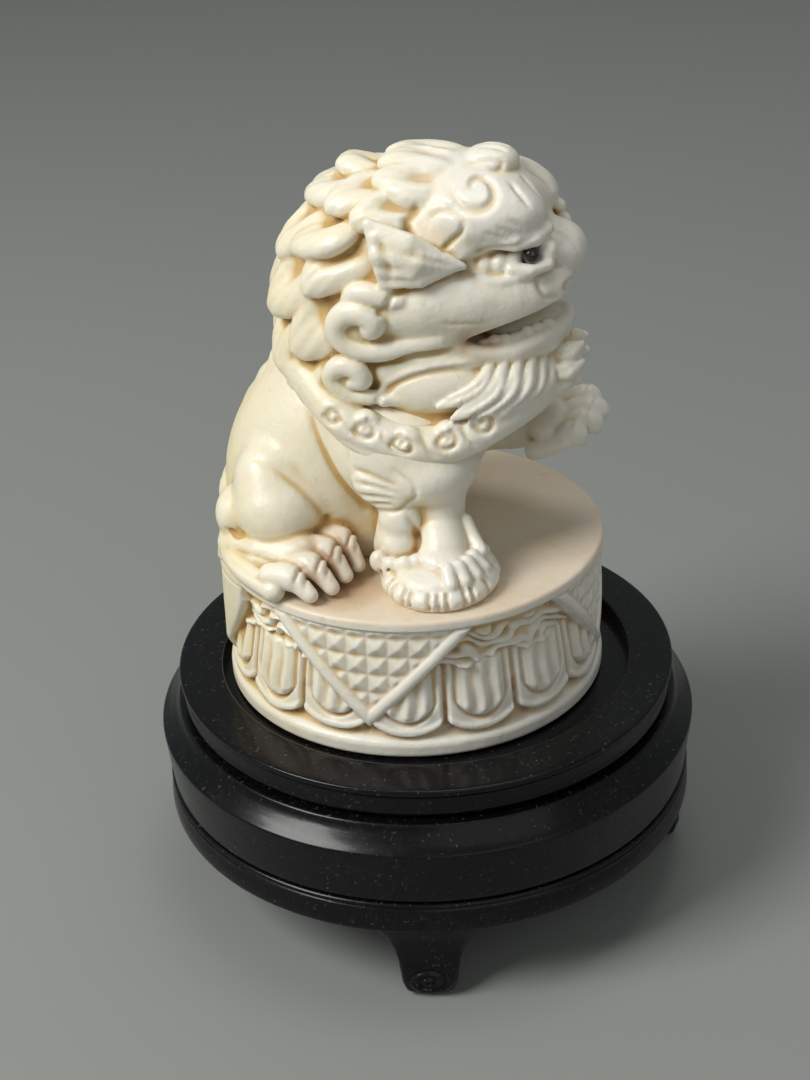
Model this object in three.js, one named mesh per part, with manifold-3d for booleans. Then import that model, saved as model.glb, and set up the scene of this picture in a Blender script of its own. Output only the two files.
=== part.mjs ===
// A seated guardian lion on a lotus pedestal, in a round black stand on four bracket feet.
// Millimetres, +Z up, +X the way the lion faces. The origin is the middle of the ground contact,
// on the stand's turning axis. The figurine stands a little off that axis, loose in its recess.

import * as THREE from 'three';
import { mergeVertices } from 'three/addons/utils/BufferGeometryUtils.js';
import Module from 'manifold-3d';

// ---- Driving dimensions ----

const FIT_GAP = 0.3; // clearance between neighbouring pieces
const ROUND_SIDES = 48; // facets of a turned piece

const STAND_R = 37.5; // the widest edge, on the shoulder
const STAND_TOP = 32.4;
const STAND_TURN = 13; // degrees from +X to the first foot
const TOP_R = 34.5;
const RECESS_R = 28.4;
const RECESS_DEPTH = 1.8;
const PANEL_THICK = 2.4;
const PANEL_LAP = 1.8; // how far the seat panel runs under the top ring

const FOOT_HEIGHT = 11.7;
const FOOT_TOP_WIDTH = 14.8;
const FOOT_TOE_WIDTH = 7.4;
const FOOT_SOLE_WIDTH = 5.2;
const FOOT_DEPTH = 7;
const FOOT_OUTER_R = 36.3;
const FOOT_COUNT = 4;
const DOWEL_R = 1.25;
const DOWEL_LENGTH = 8;

const BASE_RING_BOTTOM = FOOT_HEIGHT + FIT_GAP;
const BASE_RING_TOP = 16.5;
const BASE_RING_INNER_R = 29;
const SHOULDER_BOTTOM = BASE_RING_TOP + FIT_GAP;
const SHOULDER_EDGE = 24.5; // height of the widest edge
const SHOULDER_TOP = 27.6;
const SHOULDER_INNER_R = 26;
const TOP_RING_BOTTOM = SHOULDER_TOP + FIT_GAP;

const FIGURE_X = -1.4; // the figurine's axis, off the stand's
const FIGURE_Y = 0.7;
const SEAT_FLOOR = STAND_TOP - RECESS_DEPTH;
const PEDESTAL_BOTTOM = SEAT_FLOOR + FIT_GAP;
const PEDESTAL_TOP = 51.2;
const PEDESTAL_R = 26;
const PETAL_R = 24.6;
const PETAL_TOP = 45;
const RIM_TOP = 34.2;
const CLOTH_CORNER_WIDTH = 26;
const CLOTH_CORNER_TIP = 34.5; // height of the hanging tip
const CLOTH_PROUD = 0.6;

const LION_BOTTOM = PEDESTAL_TOP + FIT_GAP;
const PEG_R = 1.5;
const PEG_LENGTH = 13;
const PEG_PLACES = { figure_peg_front: [0, 0], figure_peg_rear: [-14, 0] };
const EYE_R = 1.15;
const EYE_X = 17.8;
const EYE_SPREAD = 6.9; // from the lion's middle plane to an eye
const EYE_Z = 93.3;

// ---- Solids and materials ----

const wasm = await Module();
wasm.setup();

const EBONISED = { color: 0x0b0a0a, roughness: 0.38, metalness: 0 };
const IVORY = { color: 0xe6dcbf, roughness: 0.42, metalness: 0 };
const EYE_BLACK = { color: 0x080808, roughness: 0.12, metalness: 0 };
const PEG_WOOD = { color: 0xb48a55, roughness: 0.8, metalness: 0 };

const group = new THREE.Group();

function addPiece(name, geometry, finish, parent = group) {
  const mesh = new THREE.Mesh(geometry, new THREE.MeshStandardMaterial(finish));
  mesh.name = name;
  parent.add(mesh);
  return mesh;
}

function toSolid(geometry) {
  const bare = geometry.clone();
  bare.deleteAttribute('normal');
  bare.deleteAttribute('uv');
  const merged = mergeVertices(bare);
  const corners = merged.index.array;
  const kept = [];
  for (let i = 0; i < corners.length; i += 3) {
    const [a, b, c] = corners.slice(i, i + 3);
    if (a !== b && b !== c && c !== a) kept.push(a, b, c);
  }
  const vertProperties = new Float32Array(merged.attributes.position.array);
  const triVerts = new Uint32Array(kept);
  return new wasm.Manifold(new wasm.Mesh({ numProp: 3, vertProperties, triVerts }));
}

function toGeometry(solid) {
  const mesh = solid.getMesh();
  const geometry = new THREE.BufferGeometry();
  geometry.setAttribute('position', new THREE.BufferAttribute(mesh.vertProperties, 3));
  geometry.setIndex(new THREE.BufferAttribute(mesh.triVerts, 1));
  geometry.computeVertexNormals();
  return geometry;
}

// A profile of [radius, height] points turned about the Z axis.
function turned(profile) {
  const points = profile.map(([r, z]) => new THREE.Vector2(r, z));
  return new THREE.LatheGeometry(points, ROUND_SIDES).rotateX(Math.PI / 2);
}

// A ring whose section is the closed outline through the given points.
function turnedRing(profile) {
  return turned([...profile, profile[0]]);
}

// An upright cylinder standing on the given height.
function post(radius, length, x, y, bottom, sides = 12) {
  const geometry = new THREE.CylinderGeometry(radius, radius, length, sides);
  return geometry.rotateX(Math.PI / 2).translate(x, y, bottom + length / 2);
}

// ---- The stand: turned rings, a seat panel let in from below, four bracket feet ----

// One round moulding between two heights: its outline bulges outwards by its swell.
function bead(radius, bottom, top, swell, steps = 3) {
  const points = [];
  for (let i = 0; i <= steps; i++) {
    const turn = (Math.PI * i) / steps;
    points.push([radius + swell * Math.sin(turn), bottom + ((top - bottom) * i) / steps]);
  }
  return points;
}

function standTopRing() {
  const beadBottom = STAND_TOP - 1.3;
  const sideR = TOP_R - 0.35;
  return turnedRing([
    [RECESS_R + PANEL_LAP + FIT_GAP, TOP_RING_BOTTOM],
    [sideR - 0.5, TOP_RING_BOTTOM],
    [sideR, beadBottom - 1.6],
    ...bead(sideR, beadBottom, STAND_TOP, TOP_R - sideR),
    [RECESS_R, STAND_TOP],
    [RECESS_R, SEAT_FLOOR + FIT_GAP],
    [RECESS_R + PANEL_LAP + FIT_GAP, SEAT_FLOOR + FIT_GAP],
  ]);
}

// The shoulder hollows out from under the top ring to the widest edge, then tapers in to the base.
function standShoulderRing() {
  const coveStart = new THREE.Vector2(TOP_R - 0.6, SHOULDER_TOP);
  const coveBend = new THREE.Vector2(TOP_R + 1, SHOULDER_EDGE + 1.1);
  const coveEnd = new THREE.Vector2(STAND_R, SHOULDER_EDGE);
  const cove = new THREE.QuadraticBezierCurve(coveEnd, coveBend, coveStart).getPoints(4);
  return turnedRing([
    [SHOULDER_INNER_R, SHOULDER_BOTTOM],
    [STAND_R - 0.8, SHOULDER_BOTTOM],
    ...cove.map((point) => [point.x, point.y]),
    [SHOULDER_INNER_R, SHOULDER_TOP],
  ]);
}

function standBaseRing() {
  const rim = STAND_R - 0.7;
  const lowerBeadTop = BASE_RING_BOTTOM + 2.8;
  return turnedRing([
    [BASE_RING_INNER_R, BASE_RING_BOTTOM],
    ...bead(rim, BASE_RING_BOTTOM, lowerBeadTop, 0.5),
    ...bead(rim, lowerBeadTop + 0.1, BASE_RING_TOP, 0.4),
    [BASE_RING_INNER_R, BASE_RING_TOP],
  ]);
}

// The foot from in front: a rounded toe that flares in a hollow curve up to the ring.
function footOutline() {
  const top = FOOT_TOP_WIDTH / 2;
  const toe = FOOT_TOE_WIDTH / 2;
  const sole = FOOT_SOLE_WIDTH / 2;
  const toeHeight = 2.6;
  const shape = new THREE.Shape();
  shape.moveTo(-sole, 0);
  shape.lineTo(sole, 0);
  shape.quadraticCurveTo(toe, 0.1, toe, toeHeight);
  shape.bezierCurveTo(toe + 0.3, 6.5, top - 1.8, 9.5, top, FOOT_HEIGHT);
  shape.lineTo(-top, FOOT_HEIGHT);
  shape.bezierCurveTo(-top + 1.8, 9.5, -toe - 0.3, 6.5, -toe, toeHeight);
  shape.quadraticCurveTo(-toe, 0.1, -sole, 0);
  return shape;
}

const dowelR = FOOT_OUTER_R - FOOT_DEPTH / 2; // the dowels' distance from the axis
const dowelBottom = FOOT_HEIGHT - DOWEL_LENGTH / 2;

// The foot that points along +X, drilled from above for its dowel.
function foot() {
  const block = new THREE.ExtrudeGeometry(footOutline(), {
    depth: FOOT_DEPTH,
    bevelEnabled: false,
    curveSegments: 5,
  });
  block.rotateX(Math.PI / 2).rotateZ(Math.PI / 2).translate(FOOT_OUTER_R - FOOT_DEPTH, 0, 0);
  const hole = post(DOWEL_R + FIT_GAP, DOWEL_LENGTH, dowelR, 0, dowelBottom - FIT_GAP);
  return toGeometry(toSolid(block).subtract(toSolid(hole)));
}

function drilledBaseRing() {
  let ring = toSolid(standBaseRing());
  for (let i = 0; i < FOOT_COUNT; i++) {
    const angle = THREE.MathUtils.degToRad(STAND_TURN + (360 / FOOT_COUNT) * i);
    const x = dowelR * Math.cos(angle);
    const y = dowelR * Math.sin(angle);
    const hole = post(DOWEL_R + FIT_GAP, DOWEL_LENGTH + FIT_GAP, x, y, dowelBottom);
    ring = ring.subtract(toSolid(hole));
  }
  return toGeometry(ring);
}

addPiece('stand_top_ring', standTopRing(), EBONISED);
addPiece('stand_shoulder_ring', standShoulderRing(), EBONISED);
addPiece('stand_base_ring', drilledBaseRing(), EBONISED);

const panelR = RECESS_R + PANEL_LAP;
const panelBottom = SEAT_FLOOR - PANEL_THICK;
addPiece('stand_seat_panel', post(panelR, PANEL_THICK, 0, 0, panelBottom, ROUND_SIDES), EBONISED);

const FOOT_NAMES = ['fore', 'left', 'rear', 'right'];
FOOT_NAMES.forEach((side, i) => {
  const corner = new THREE.Group();
  corner.rotation.z = THREE.MathUtils.degToRad(STAND_TURN + (360 / FOOT_COUNT) * i);
  addPiece(`foot_${side}`, foot(), EBONISED, corner);
  const dowel = post(DOWEL_R, DOWEL_LENGTH, dowelR, 0, dowelBottom);
  addPiece(`foot_dowel_${side}`, dowel, PEG_WOOD, corner);
  group.add(corner);
});

// ---- The figurine ----

const figurine = new THREE.Group();
figurine.position.set(FIGURE_X, FIGURE_Y, 0);
group.add(figurine);

function pegHoles(solid) {
  let drilled = solid;
  for (const [x, y] of Object.values(PEG_PLACES)) {
    const bottom = LION_BOTTOM - PEG_LENGTH / 2 - FIT_GAP;
    const hole = post(PEG_R + FIT_GAP, PEG_LENGTH + 2 * FIT_GAP, x, y, bottom);
    drilled = drilled.subtract(toSolid(hole));
  }
  return drilled;
}

// One hanging corner of the cloth: a triangle against the drum's side, point down.
function clothCorner(angle) {
  const half = CLOTH_CORNER_WIDTH / 2;
  const shape = new THREE.Shape();
  shape.moveTo(-half, PEDESTAL_TOP - 1.5);
  shape.lineTo(0, CLOTH_CORNER_TIP);
  shape.lineTo(half, PEDESTAL_TOP - 1.5);
  shape.lineTo(-half, PEDESTAL_TOP - 1.5);
  const slab = new THREE.ExtrudeGeometry(shape, { depth: PEDESTAL_R, bevelEnabled: false });
  slab.rotateX(Math.PI / 2).rotateZ(Math.PI / 2).rotateZ(angle);
  const drum = post(PEDESTAL_R + CLOTH_PROUD, 40, 0, 0, PEDESTAL_BOTTOM, ROUND_SIDES);
  return toSolid(slab).intersect(toSolid(drum));
}

function lotusPedestal() {
  const profile = turned([
    [0, PEDESTAL_BOTTOM],
    [PEDESTAL_R, PEDESTAL_BOTTOM],
    [PEDESTAL_R, RIM_TOP - 0.6],
    [PETAL_R, RIM_TOP + 0.6],
    [PETAL_R + 0.6, RIM_TOP + 4],
    [PETAL_R - 0.6, PETAL_TOP],
    [PEDESTAL_R, PETAL_TOP + 1.5],
    [PEDESTAL_R, PEDESTAL_TOP],
    [0, PEDESTAL_TOP],
  ]);
  let drum = toSolid(profile);
  for (let i = 0; i < 4; i++) drum = drum.add(clothCorner((Math.PI / 2) * i));
  return toGeometry(pegHoles(drum));
}

// An egg-shaped mass: [centre x, y, z], [radii x, y, z], pitch in degrees (nose down is positive).
function mass([x, y, z], [rx, ry, rz], pitch = 0) {
  const geometry = new THREE.SphereGeometry(1, 13, 9).rotateX(Math.PI / 2).scale(rx, ry, rz);
  geometry.rotateY(THREE.MathUtils.degToRad(pitch)).translate(x, y, z);
  return toSolid(geometry);
}

// The masses on the lion's middle plane, then those of one side. `side` is -1 right, +1 left.
const MIDDLE_MASSES = [
  [[-12, 0, 62], [14, 14.5, 14], 0], // rump
  [[-2, 0, 64], [13, 12.5, 17], 0], // chest
  [[-4, 0, 53], [12, 10.5, 9], 0], // belly, resting on the pedestal
  [[-2.5, 0, 84], [15.5, 14, 15], -10], // mane
  [[5.5, 0, 92], [14, 13, 12.5], 8], // skull
  [[15.5, 0, 92.5], [8, 7.5, 5.5], 12], // muzzle
  [[11, 0, 80], [11, 7.5, 4.5], -4], // lower jaw
  [[20, 0, 77], [4.5, 5, 4], 30], // beard tuft
  [[6, 0, 71], [11, 11.5, 6], 0], // collar
  [[-22, 0, 58], [4.5, 6, 9], 0], // tail
];
const THIGH = [[-13.5, 12, 60], [8.5, 6.5, 9.5], 25];
const RIGHT_HIND_FOOT = [[-12, -16.5, 53.5], [9.5, 6.4, 4], 0];
const LEFT_HIND_MASSES = [
  [[-5, 13, 58], [9, 5.5, 8], 25], // knee
  [[2, 16, 53.5], [9.5, 6, 4], 0], // foot, set further forward
];
const EAR = [[2, 12.5, 93.5], [7, 3, 4.5], -20];
const RIGHT_FORE_MASSES = [
  [[5, -9, 64], [5.5, 5.5, 9], -6], // upper leg
  [[6.5, -13, 58], [5.8, 6.2, 4], 0], // paw
  [[7.2, -14.6, 54], [7.8, 8.4, 4.6], 0], // brocade ball
];
const LEFT_FORE_MASSES = [
  [[7, 8.5, 66], [7, 5, 6], 0], // shoulder
  [[14, 8, 65], [8, 4.4, 4.2], -8], // raised foreleg
  [[21.5, 6.5, 66.2], [5, 4.6, 3.6], -10], // raised paw
];

function lion() {
  const mirrored = ([[x, y, z], radii, pitch]) => [[x, -y, z], radii, pitch];
  const paired = [THIGH, EAR];
  const all = [
    ...MIDDLE_MASSES,
    ...paired,
    ...paired.map(mirrored),
    RIGHT_HIND_FOOT,
    ...LEFT_HIND_MASSES,
    ...RIGHT_FORE_MASSES,
    ...LEFT_FORE_MASSES,
  ];
  let body = all.map((entry) => mass(...entry)).reduce((sum, next) => sum.add(next));
  const belowFeet = new THREE.BoxGeometry(200, 200, 40).translate(0, 0, LION_BOTTOM - 20);
  body = body.subtract(toSolid(belowFeet));
  for (const side of [-1, 1]) {
    body = body.subtract(mass([EYE_X, EYE_SPREAD * side, EYE_Z], Array(3).fill(EYE_R + FIT_GAP)));
  }
  return toGeometry(pegHoles(body));
}

addPiece('lotus_pedestal', lotusPedestal(), IVORY, figurine);
addPiece('lion', lion(), IVORY, figurine);

for (const [name, [x, y]] of Object.entries(PEG_PLACES)) {
  addPiece(name, post(PEG_R, PEG_LENGTH, x, y, LION_BOTTOM - PEG_LENGTH / 2), PEG_WOOD, figurine);
}

for (const [name, side] of [['right_eye', -1], ['left_eye', 1]]) {
  const eye = addPiece(name, new THREE.SphereGeometry(EYE_R, 12, 8), EYE_BLACK, figurine);
  eye.position.set(EYE_X, EYE_SPREAD * side, EYE_Z);
}

export default group;
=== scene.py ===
import math

import bpy
import numpy as np
from mathutils import Euler, Matrix, Vector


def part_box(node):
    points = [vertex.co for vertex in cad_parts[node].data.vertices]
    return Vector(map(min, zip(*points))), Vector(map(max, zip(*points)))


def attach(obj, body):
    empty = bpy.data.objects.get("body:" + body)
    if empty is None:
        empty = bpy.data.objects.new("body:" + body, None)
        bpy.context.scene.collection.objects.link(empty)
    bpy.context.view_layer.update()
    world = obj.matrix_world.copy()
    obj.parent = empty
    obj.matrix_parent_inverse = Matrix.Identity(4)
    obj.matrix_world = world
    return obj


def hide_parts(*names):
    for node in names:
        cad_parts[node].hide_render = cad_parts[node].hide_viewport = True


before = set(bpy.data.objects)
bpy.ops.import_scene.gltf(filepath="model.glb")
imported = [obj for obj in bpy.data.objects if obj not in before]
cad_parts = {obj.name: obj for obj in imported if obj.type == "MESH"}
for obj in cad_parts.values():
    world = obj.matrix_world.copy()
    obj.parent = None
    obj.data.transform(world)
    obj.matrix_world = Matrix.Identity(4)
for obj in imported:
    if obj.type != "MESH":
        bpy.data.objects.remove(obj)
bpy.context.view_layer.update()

bl_info = {
    "name": "Guardian Lion on a Lotus Pedestal",
    "version": (1, 0, 0),
    "blender": (4, 5, 0),
    "location": "3D View > Sidebar > Lion",
    "description": "Carves a seated guardian lion, its lotus pedestal and a lacquered stand",
    "category": "Add Mesh",
}

MM = 0.001


def node_box(name):
    """The lowest and highest corners of a CAD node, in millimetres."""
    low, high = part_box(name)
    return np.array(low) / MM, np.array(high) / MM


PEDESTAL_LOW, PEDESTAL_HIGH = node_box("lotus_pedestal")
FIGURE_X, FIGURE_Y = ((PEDESTAL_LOW + PEDESTAL_HIGH) / 2)[:2]
FLOOR = PEDESTAL_HIGH[2]  # the top of the pedestal, that the lion sits on

# ---------------------------------------------------------------------------------------------
# Carving: distances on a grid of points
# ---------------------------------------------------------------------------------------------


def smooth_step(low, high, value):
    """0 below low, 1 above high, and a smooth S between them."""
    t = np.clip((value - low) / (high - low), 0, 1)
    return t * t * (3 - 2 * t)


def join(a, b, blend):
    """The union of two distances, with a fillet about as wide as blend."""
    if blend <= 0:
        return np.minimum(a, b)
    mix = np.clip(0.5 + 0.5 * (b - a) / blend, 0, 1)
    return b + (a - b) * mix - blend * mix * (1 - mix)


def turn_matrix(turn):
    """The rotation for a turn in degrees about x, y and z; its columns are the turned axes."""
    return np.array(Euler([math.radians(a) for a in turn]).to_matrix(), np.float32)


def local(matrix, centre, x, y, z):
    """A point's place along the three axes of a turned shape."""
    dx, dy, dz = x - centre[0], y - centre[1], z - centre[2]
    return [matrix[0, i] * dx + matrix[1, i] * dy + matrix[2, i] * dz for i in range(3)]


class Egg:
    """A rounded mass: about the distance to an ellipsoid, |p/r| (|p/r| - 1) / |p/r/r|."""

    def __init__(self, centre, radii, turn=(0, 0, 0), matrix=None):
        self.centre = np.array(centre, np.float32)
        self.radii = np.array(radii, np.float32)
        self.matrix = turn_matrix(turn) if matrix is None else np.array(matrix, np.float32)
        reach = np.sqrt(((self.matrix * self.radii) ** 2).sum(1))
        self.low, self.high = self.centre - reach, self.centre + reach

    def distance(self, x, y, z):
        u, v, w = local(self.matrix, self.centre, x, y, z)
        a, b, c = self.radii
        near = np.sqrt((u / a) ** 2 + (v / b) ** 2 + (w / c) ** 2) + 1e-6
        slope = np.sqrt((u / a**2) ** 2 + (v / b**2) ** 2 + (w / c**2) ** 2) + 1e-6
        return near * (near - 1) / slope


class Rod:
    """A bent, tapering round bar: the distance to a chain of straight lengths, less the radius,
    which runs evenly from each point's to the next."""

    def __init__(self, points, radii):
        self.points = np.array(points, np.float32)
        self.radii = np.broadcast_to(np.array(radii, np.float32), len(self.points))
        most = self.radii.max()
        self.low, self.high = self.points.min(0) - most, self.points.max(0) + most

    def distance(self, x, y, z):
        best = None
        for start, end, r0, r1 in zip(
            self.points[:-1], self.points[1:], self.radii[:-1], self.radii[1:]
        ):
            run = end - start
            dx, dy, dz = x - start[0], y - start[1], z - start[2]
            along = (dx * run[0] + dy * run[1] + dz * run[2]) / (run @ run + 1e-9)
            along = np.clip(along, 0, 1)
            dx, dy, dz = dx - along * run[0], dy - along * run[1], dz - along * run[2]
            gap = np.sqrt(dx * dx + dy * dy + dz * dz) - (r0 + along * (r1 - r0))
            best = gap if best is None else np.minimum(best, gap)
        return best


def smooth_path(points, count):
    """Even steps along the smooth curve (Catmull-Rom) through the points."""
    knots = np.array(points, float)
    padded = np.vstack([2 * knots[0] - knots[1], knots, 2 * knots[-1] - knots[-2]])
    place = np.linspace(0, len(knots) - 1, count)
    piece = np.minimum(place.astype(int), len(knots) - 2)
    t = (place - piece)[:, None]
    a, b, c, d = (padded[piece + i] for i in range(4))
    return 0.5 * (
        2 * b + (c - a) * t + (2 * a - 5 * b + 4 * c - d) * t**2 + (3 * b - a - 3 * c + d) * t**3
    )


def scroll(centre, start_radius, end_radius, start, turns):
    """Points of a spiral in the side plane round a centre: the radius shrinks evenly as the
    angle (degrees, from +x towards +z) runs on."""
    count = max(8, int(abs(turns) * 18))
    t = np.linspace(0, 1, count)
    angle = np.radians(start) + 2 * np.pi * turns * t
    radius = start_radius + (end_radius - start_radius) * t
    x = centre[0] + radius * np.cos(angle)
    z = centre[2] + radius * np.sin(angle)
    return np.column_stack([x, np.full(count, centre[1], float), z])


FAR = 12  # the distance that an empty block is filled with


class Clay:
    """A block of space sampled on a cubic grid. Its field is the distance to the form carved so
    far: below zero inside. A mirrored block holds only y >= 0, and is doubled at the end."""

    def __init__(self, low, high, step, mirrored=False):
        self.step, self.mirrored = step, mirrored
        self.low = np.array(low, float)
        if mirrored:
            self.low[1] = 0
        counts = np.ceil((np.array(high) - self.low) / step).astype(int) + 1
        self.lines = [self.low[i] + step * np.arange(counts[i]) for i in range(3)]
        self.field = np.full(counts, FAR, np.float32)

    def window(self, low, high, margin):
        """The slices of the block that hold a box, and their coordinates as open arrays."""
        first = np.floor((np.array(low) - margin - self.low) / self.step).astype(int)
        last = np.ceil((np.array(high) + margin - self.low) / self.step).astype(int) + 1
        first = np.clip(first, 0, self.field.shape)
        last = np.clip(last, 0, self.field.shape)
        cut = tuple(slice(a, b) for a, b in zip(first, last))
        x, y, z = (line[part].astype(np.float32) for line, part in zip(self.lines, cut))
        return cut, x[:, None, None], y[None, :, None], z[None, None, :]

    def add(self, shape, blend=0.6):
        """Joins a shape on, with a fillet about as wide as blend."""
        cut, x, y, z = self.window(shape.low, shape.high, blend + 1.5)
        self.field[cut] = join(self.field[cut], shape.distance(x, y, z), blend)

    def cut(self, shape, blend=0.4):
        """Cuts a shape away, its edge rounded by about blend."""
        cut, x, y, z = self.window(shape.low, shape.high, blend + 0.6)
        self.field[cut] = -join(-self.field[cut], shape.distance(x, y, z), blend)


def sample(field, places):
    """The field at places given in grid steps, by straight blending of the eight corners."""
    places = np.clip(places, 0, np.array(field.shape) - 1.001)
    corner = places.astype(int)
    part = (places - corner).astype(np.float32)
    total = np.zeros(len(places), np.float32)
    for i in (0, 1):
        for j in (0, 1):
            for k in (0, 1):
                weight = np.abs(1 - i - part[:, 0]) * np.abs(1 - j - part[:, 1])
                weight = weight * np.abs(1 - k - part[:, 2])
                total += weight * field[corner[:, 0] + i, corner[:, 1] + j, corner[:, 2] + k]
    return total


def slope(field, places):
    """The gradient of the field per grid step, by central differences."""
    out = np.empty((len(places), 3), np.float32)
    for axis in range(3):
        nudge = np.zeros(3)
        nudge[axis] = 0.5
        out[:, axis] = sample(field, places + nudge) - sample(field, places - nudge)
    return out


def settle(field, places, rounds=4, most=1.0):
    """Moves places onto the surface: each step goes down the slope by field / slope squared."""
    for _ in range(rounds):
        down = slope(field, places)
        step = sample(field, places)[:, None] * down
        step /= (down**2).sum(1, keepdims=True) + 1e-6
        length = np.linalg.norm(step, axis=1, keepdims=True) + 1e-9
        places = places - step * np.minimum(1, most / length)
    return places


def softened(field, reach):
    """A box blur of the field over reach steps each way along the three axes."""
    out = field
    for axis in range(3):
        count = out.shape[axis]
        lows = np.clip(np.arange(count) - reach, 0, count)
        highs = np.clip(np.arange(count) + reach + 1, 0, count)
        sums = np.cumsum(out, axis=axis, dtype=np.float64)
        sums = np.concatenate([np.zeros_like(np.take(sums, [0], axis)), sums], axis=axis)
        spans = (highs - lows).reshape([-1 if i == axis else 1 for i in range(3)])
        out = ((np.take(sums, highs, axis) - np.take(sums, lows, axis)) / spans).astype(np.float32)
    return out


def skin(field):
    """Surface nets over a field. Each grid edge that the surface crosses adds its crossing to
    the four cells around it. A cell's point is the mean of its crossings, and the four points
    around a crossed edge make one face. Places come back in grid steps."""
    shape = np.array(field.shape)
    cells = shape - 1
    size = int(cells.prod())
    stride = np.array([cells[1] * cells[2], cells[2], 1])
    sums = np.zeros((size, 3))
    counts = np.zeros(size)
    quads = []
    for axis in range(3):
        first = np.take(field, np.arange(shape[axis] - 1), axis)
        second = np.take(field, np.arange(1, shape[axis]), axis)
        edge = np.argwhere((first < 0) != (second < 0))
        others = [i for i in range(3) if i != axis]
        keep = ((edge[:, others] >= 1) & (edge[:, others] < cells[others])).all(1)
        edge = edge[keep]
        start, end = first[tuple(edge.T)], second[tuple(edge.T)]
        place = edge.astype(float)
        place[:, axis] += start / (start - end)
        around = []
        for da, db in ((0, 0), (1, 0), (1, 1), (0, 1)):
            cell = edge.copy()
            cell[:, others[0]] -= da
            cell[:, others[1]] -= db
            flat = cell @ stride
            around.append(flat)
            counts += np.bincount(flat, minlength=size)
            for i in range(3):
                sums[:, i] += np.bincount(flat, weights=place[:, i], minlength=size)
        quad = np.column_stack(around)
        backward = (start > 0) != (axis == 1)
        quad[backward] = quad[backward][:, ::-1]
        quads.append(quad)
    quads = np.concatenate(quads)
    used = np.flatnonzero(counts)
    number = np.zeros(size, np.int64)
    number[used] = np.arange(len(used))
    return sums[used] / counts[used, None], number[quads]


def finished(clay, close=0.9, wide=3.0):
    """The carved skin of a block, with how hollow each point lies: the blurred field there is
    the mean distance around the point, below zero in a hollow and above zero on a crest."""
    field, low = clay.field, clay.low.copy()
    if clay.mirrored:
        field = np.concatenate([field[:, :0:-1], field], axis=1)
        low[1] = -clay.lines[1][-1]
    for axis in range(3):
        for end in (0, -1):
            face = [slice(None)] * 3
            face[axis] = end
            field[tuple(face)] = np.maximum(field[tuple(face)], 0.5 * clay.step)
    places, quads = skin(field)
    places = settle(field, places, rounds=2, most=0.4)
    hollows = []
    for reach in (close, wide):
        steps = max(1, round(reach / clay.step / 1.4))
        blurred = softened(softened(np.clip(field, -reach, reach), steps), steps)
        hollows.append(np.clip(-sample(blurred, places) / (0.3 * reach), -1, 1))
    return low + places * clay.step, quads, hollows


# ---------------------------------------------------------------------------------------------
# The lion's head. Places are (x forward, y out from the middle plane, z up) in millimetres
# ---------------------------------------------------------------------------------------------


def on_surface(clay, points, count):
    """A smooth line through the points, laid onto the surface carved so far, and its normals."""
    path = smooth_path(points, count)
    places = settle(clay.field, (path - clay.low) / clay.step, rounds=8, most=2)
    out = slope(clay.field, places)
    out /= np.linalg.norm(out, axis=1, keepdims=True) + 1e-9
    return clay.low + places * clay.step, out


def add_bar(clay, points, count, size, blend):
    """Adds a bar along the smooth line through the points, in count steps. Its size is one radius
    or (step, radius) pairs, with the radius running evenly between them. Returns the line."""
    path = smooth_path(points, count)
    if isinstance(size, (list, tuple)):
        size = np.interp(np.arange(count), *zip(*size))
    clay.add(Rod(path, size), blend)
    return path


def laid_rod(clay, points, width, count, taper):
    """What a bar laid on the surface needs: its line, the way out along it, how full it is
    there (tapered, it runs out at both ends), and its radius."""
    path, out = on_surface(clay, points, count)
    t = np.linspace(-1, 1, count)
    ends = (1 - t**4) if taper else np.ones(count)
    return path, out, ends, width / 2


def carve(clay, points, width, depth, count=20, blend=0.25, taper=True):
    """A round-bottomed groove along the surface, running out at both ends."""
    path, out, ends, radius = laid_rod(clay, points, width, count, taper)
    clay.cut(Rod(path + out * (radius - depth * ends)[:, None], radius), blend)


def raise_ridge(clay, points, width, height):
    """A round-topped ridge along the surface, running out at both ends."""
    path, out, ends, radius = laid_rod(clay, points, width, 20, True)
    clay.add(Rod(path + out * (height * ends - radius)[:, None], radius), 0.4)


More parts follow.
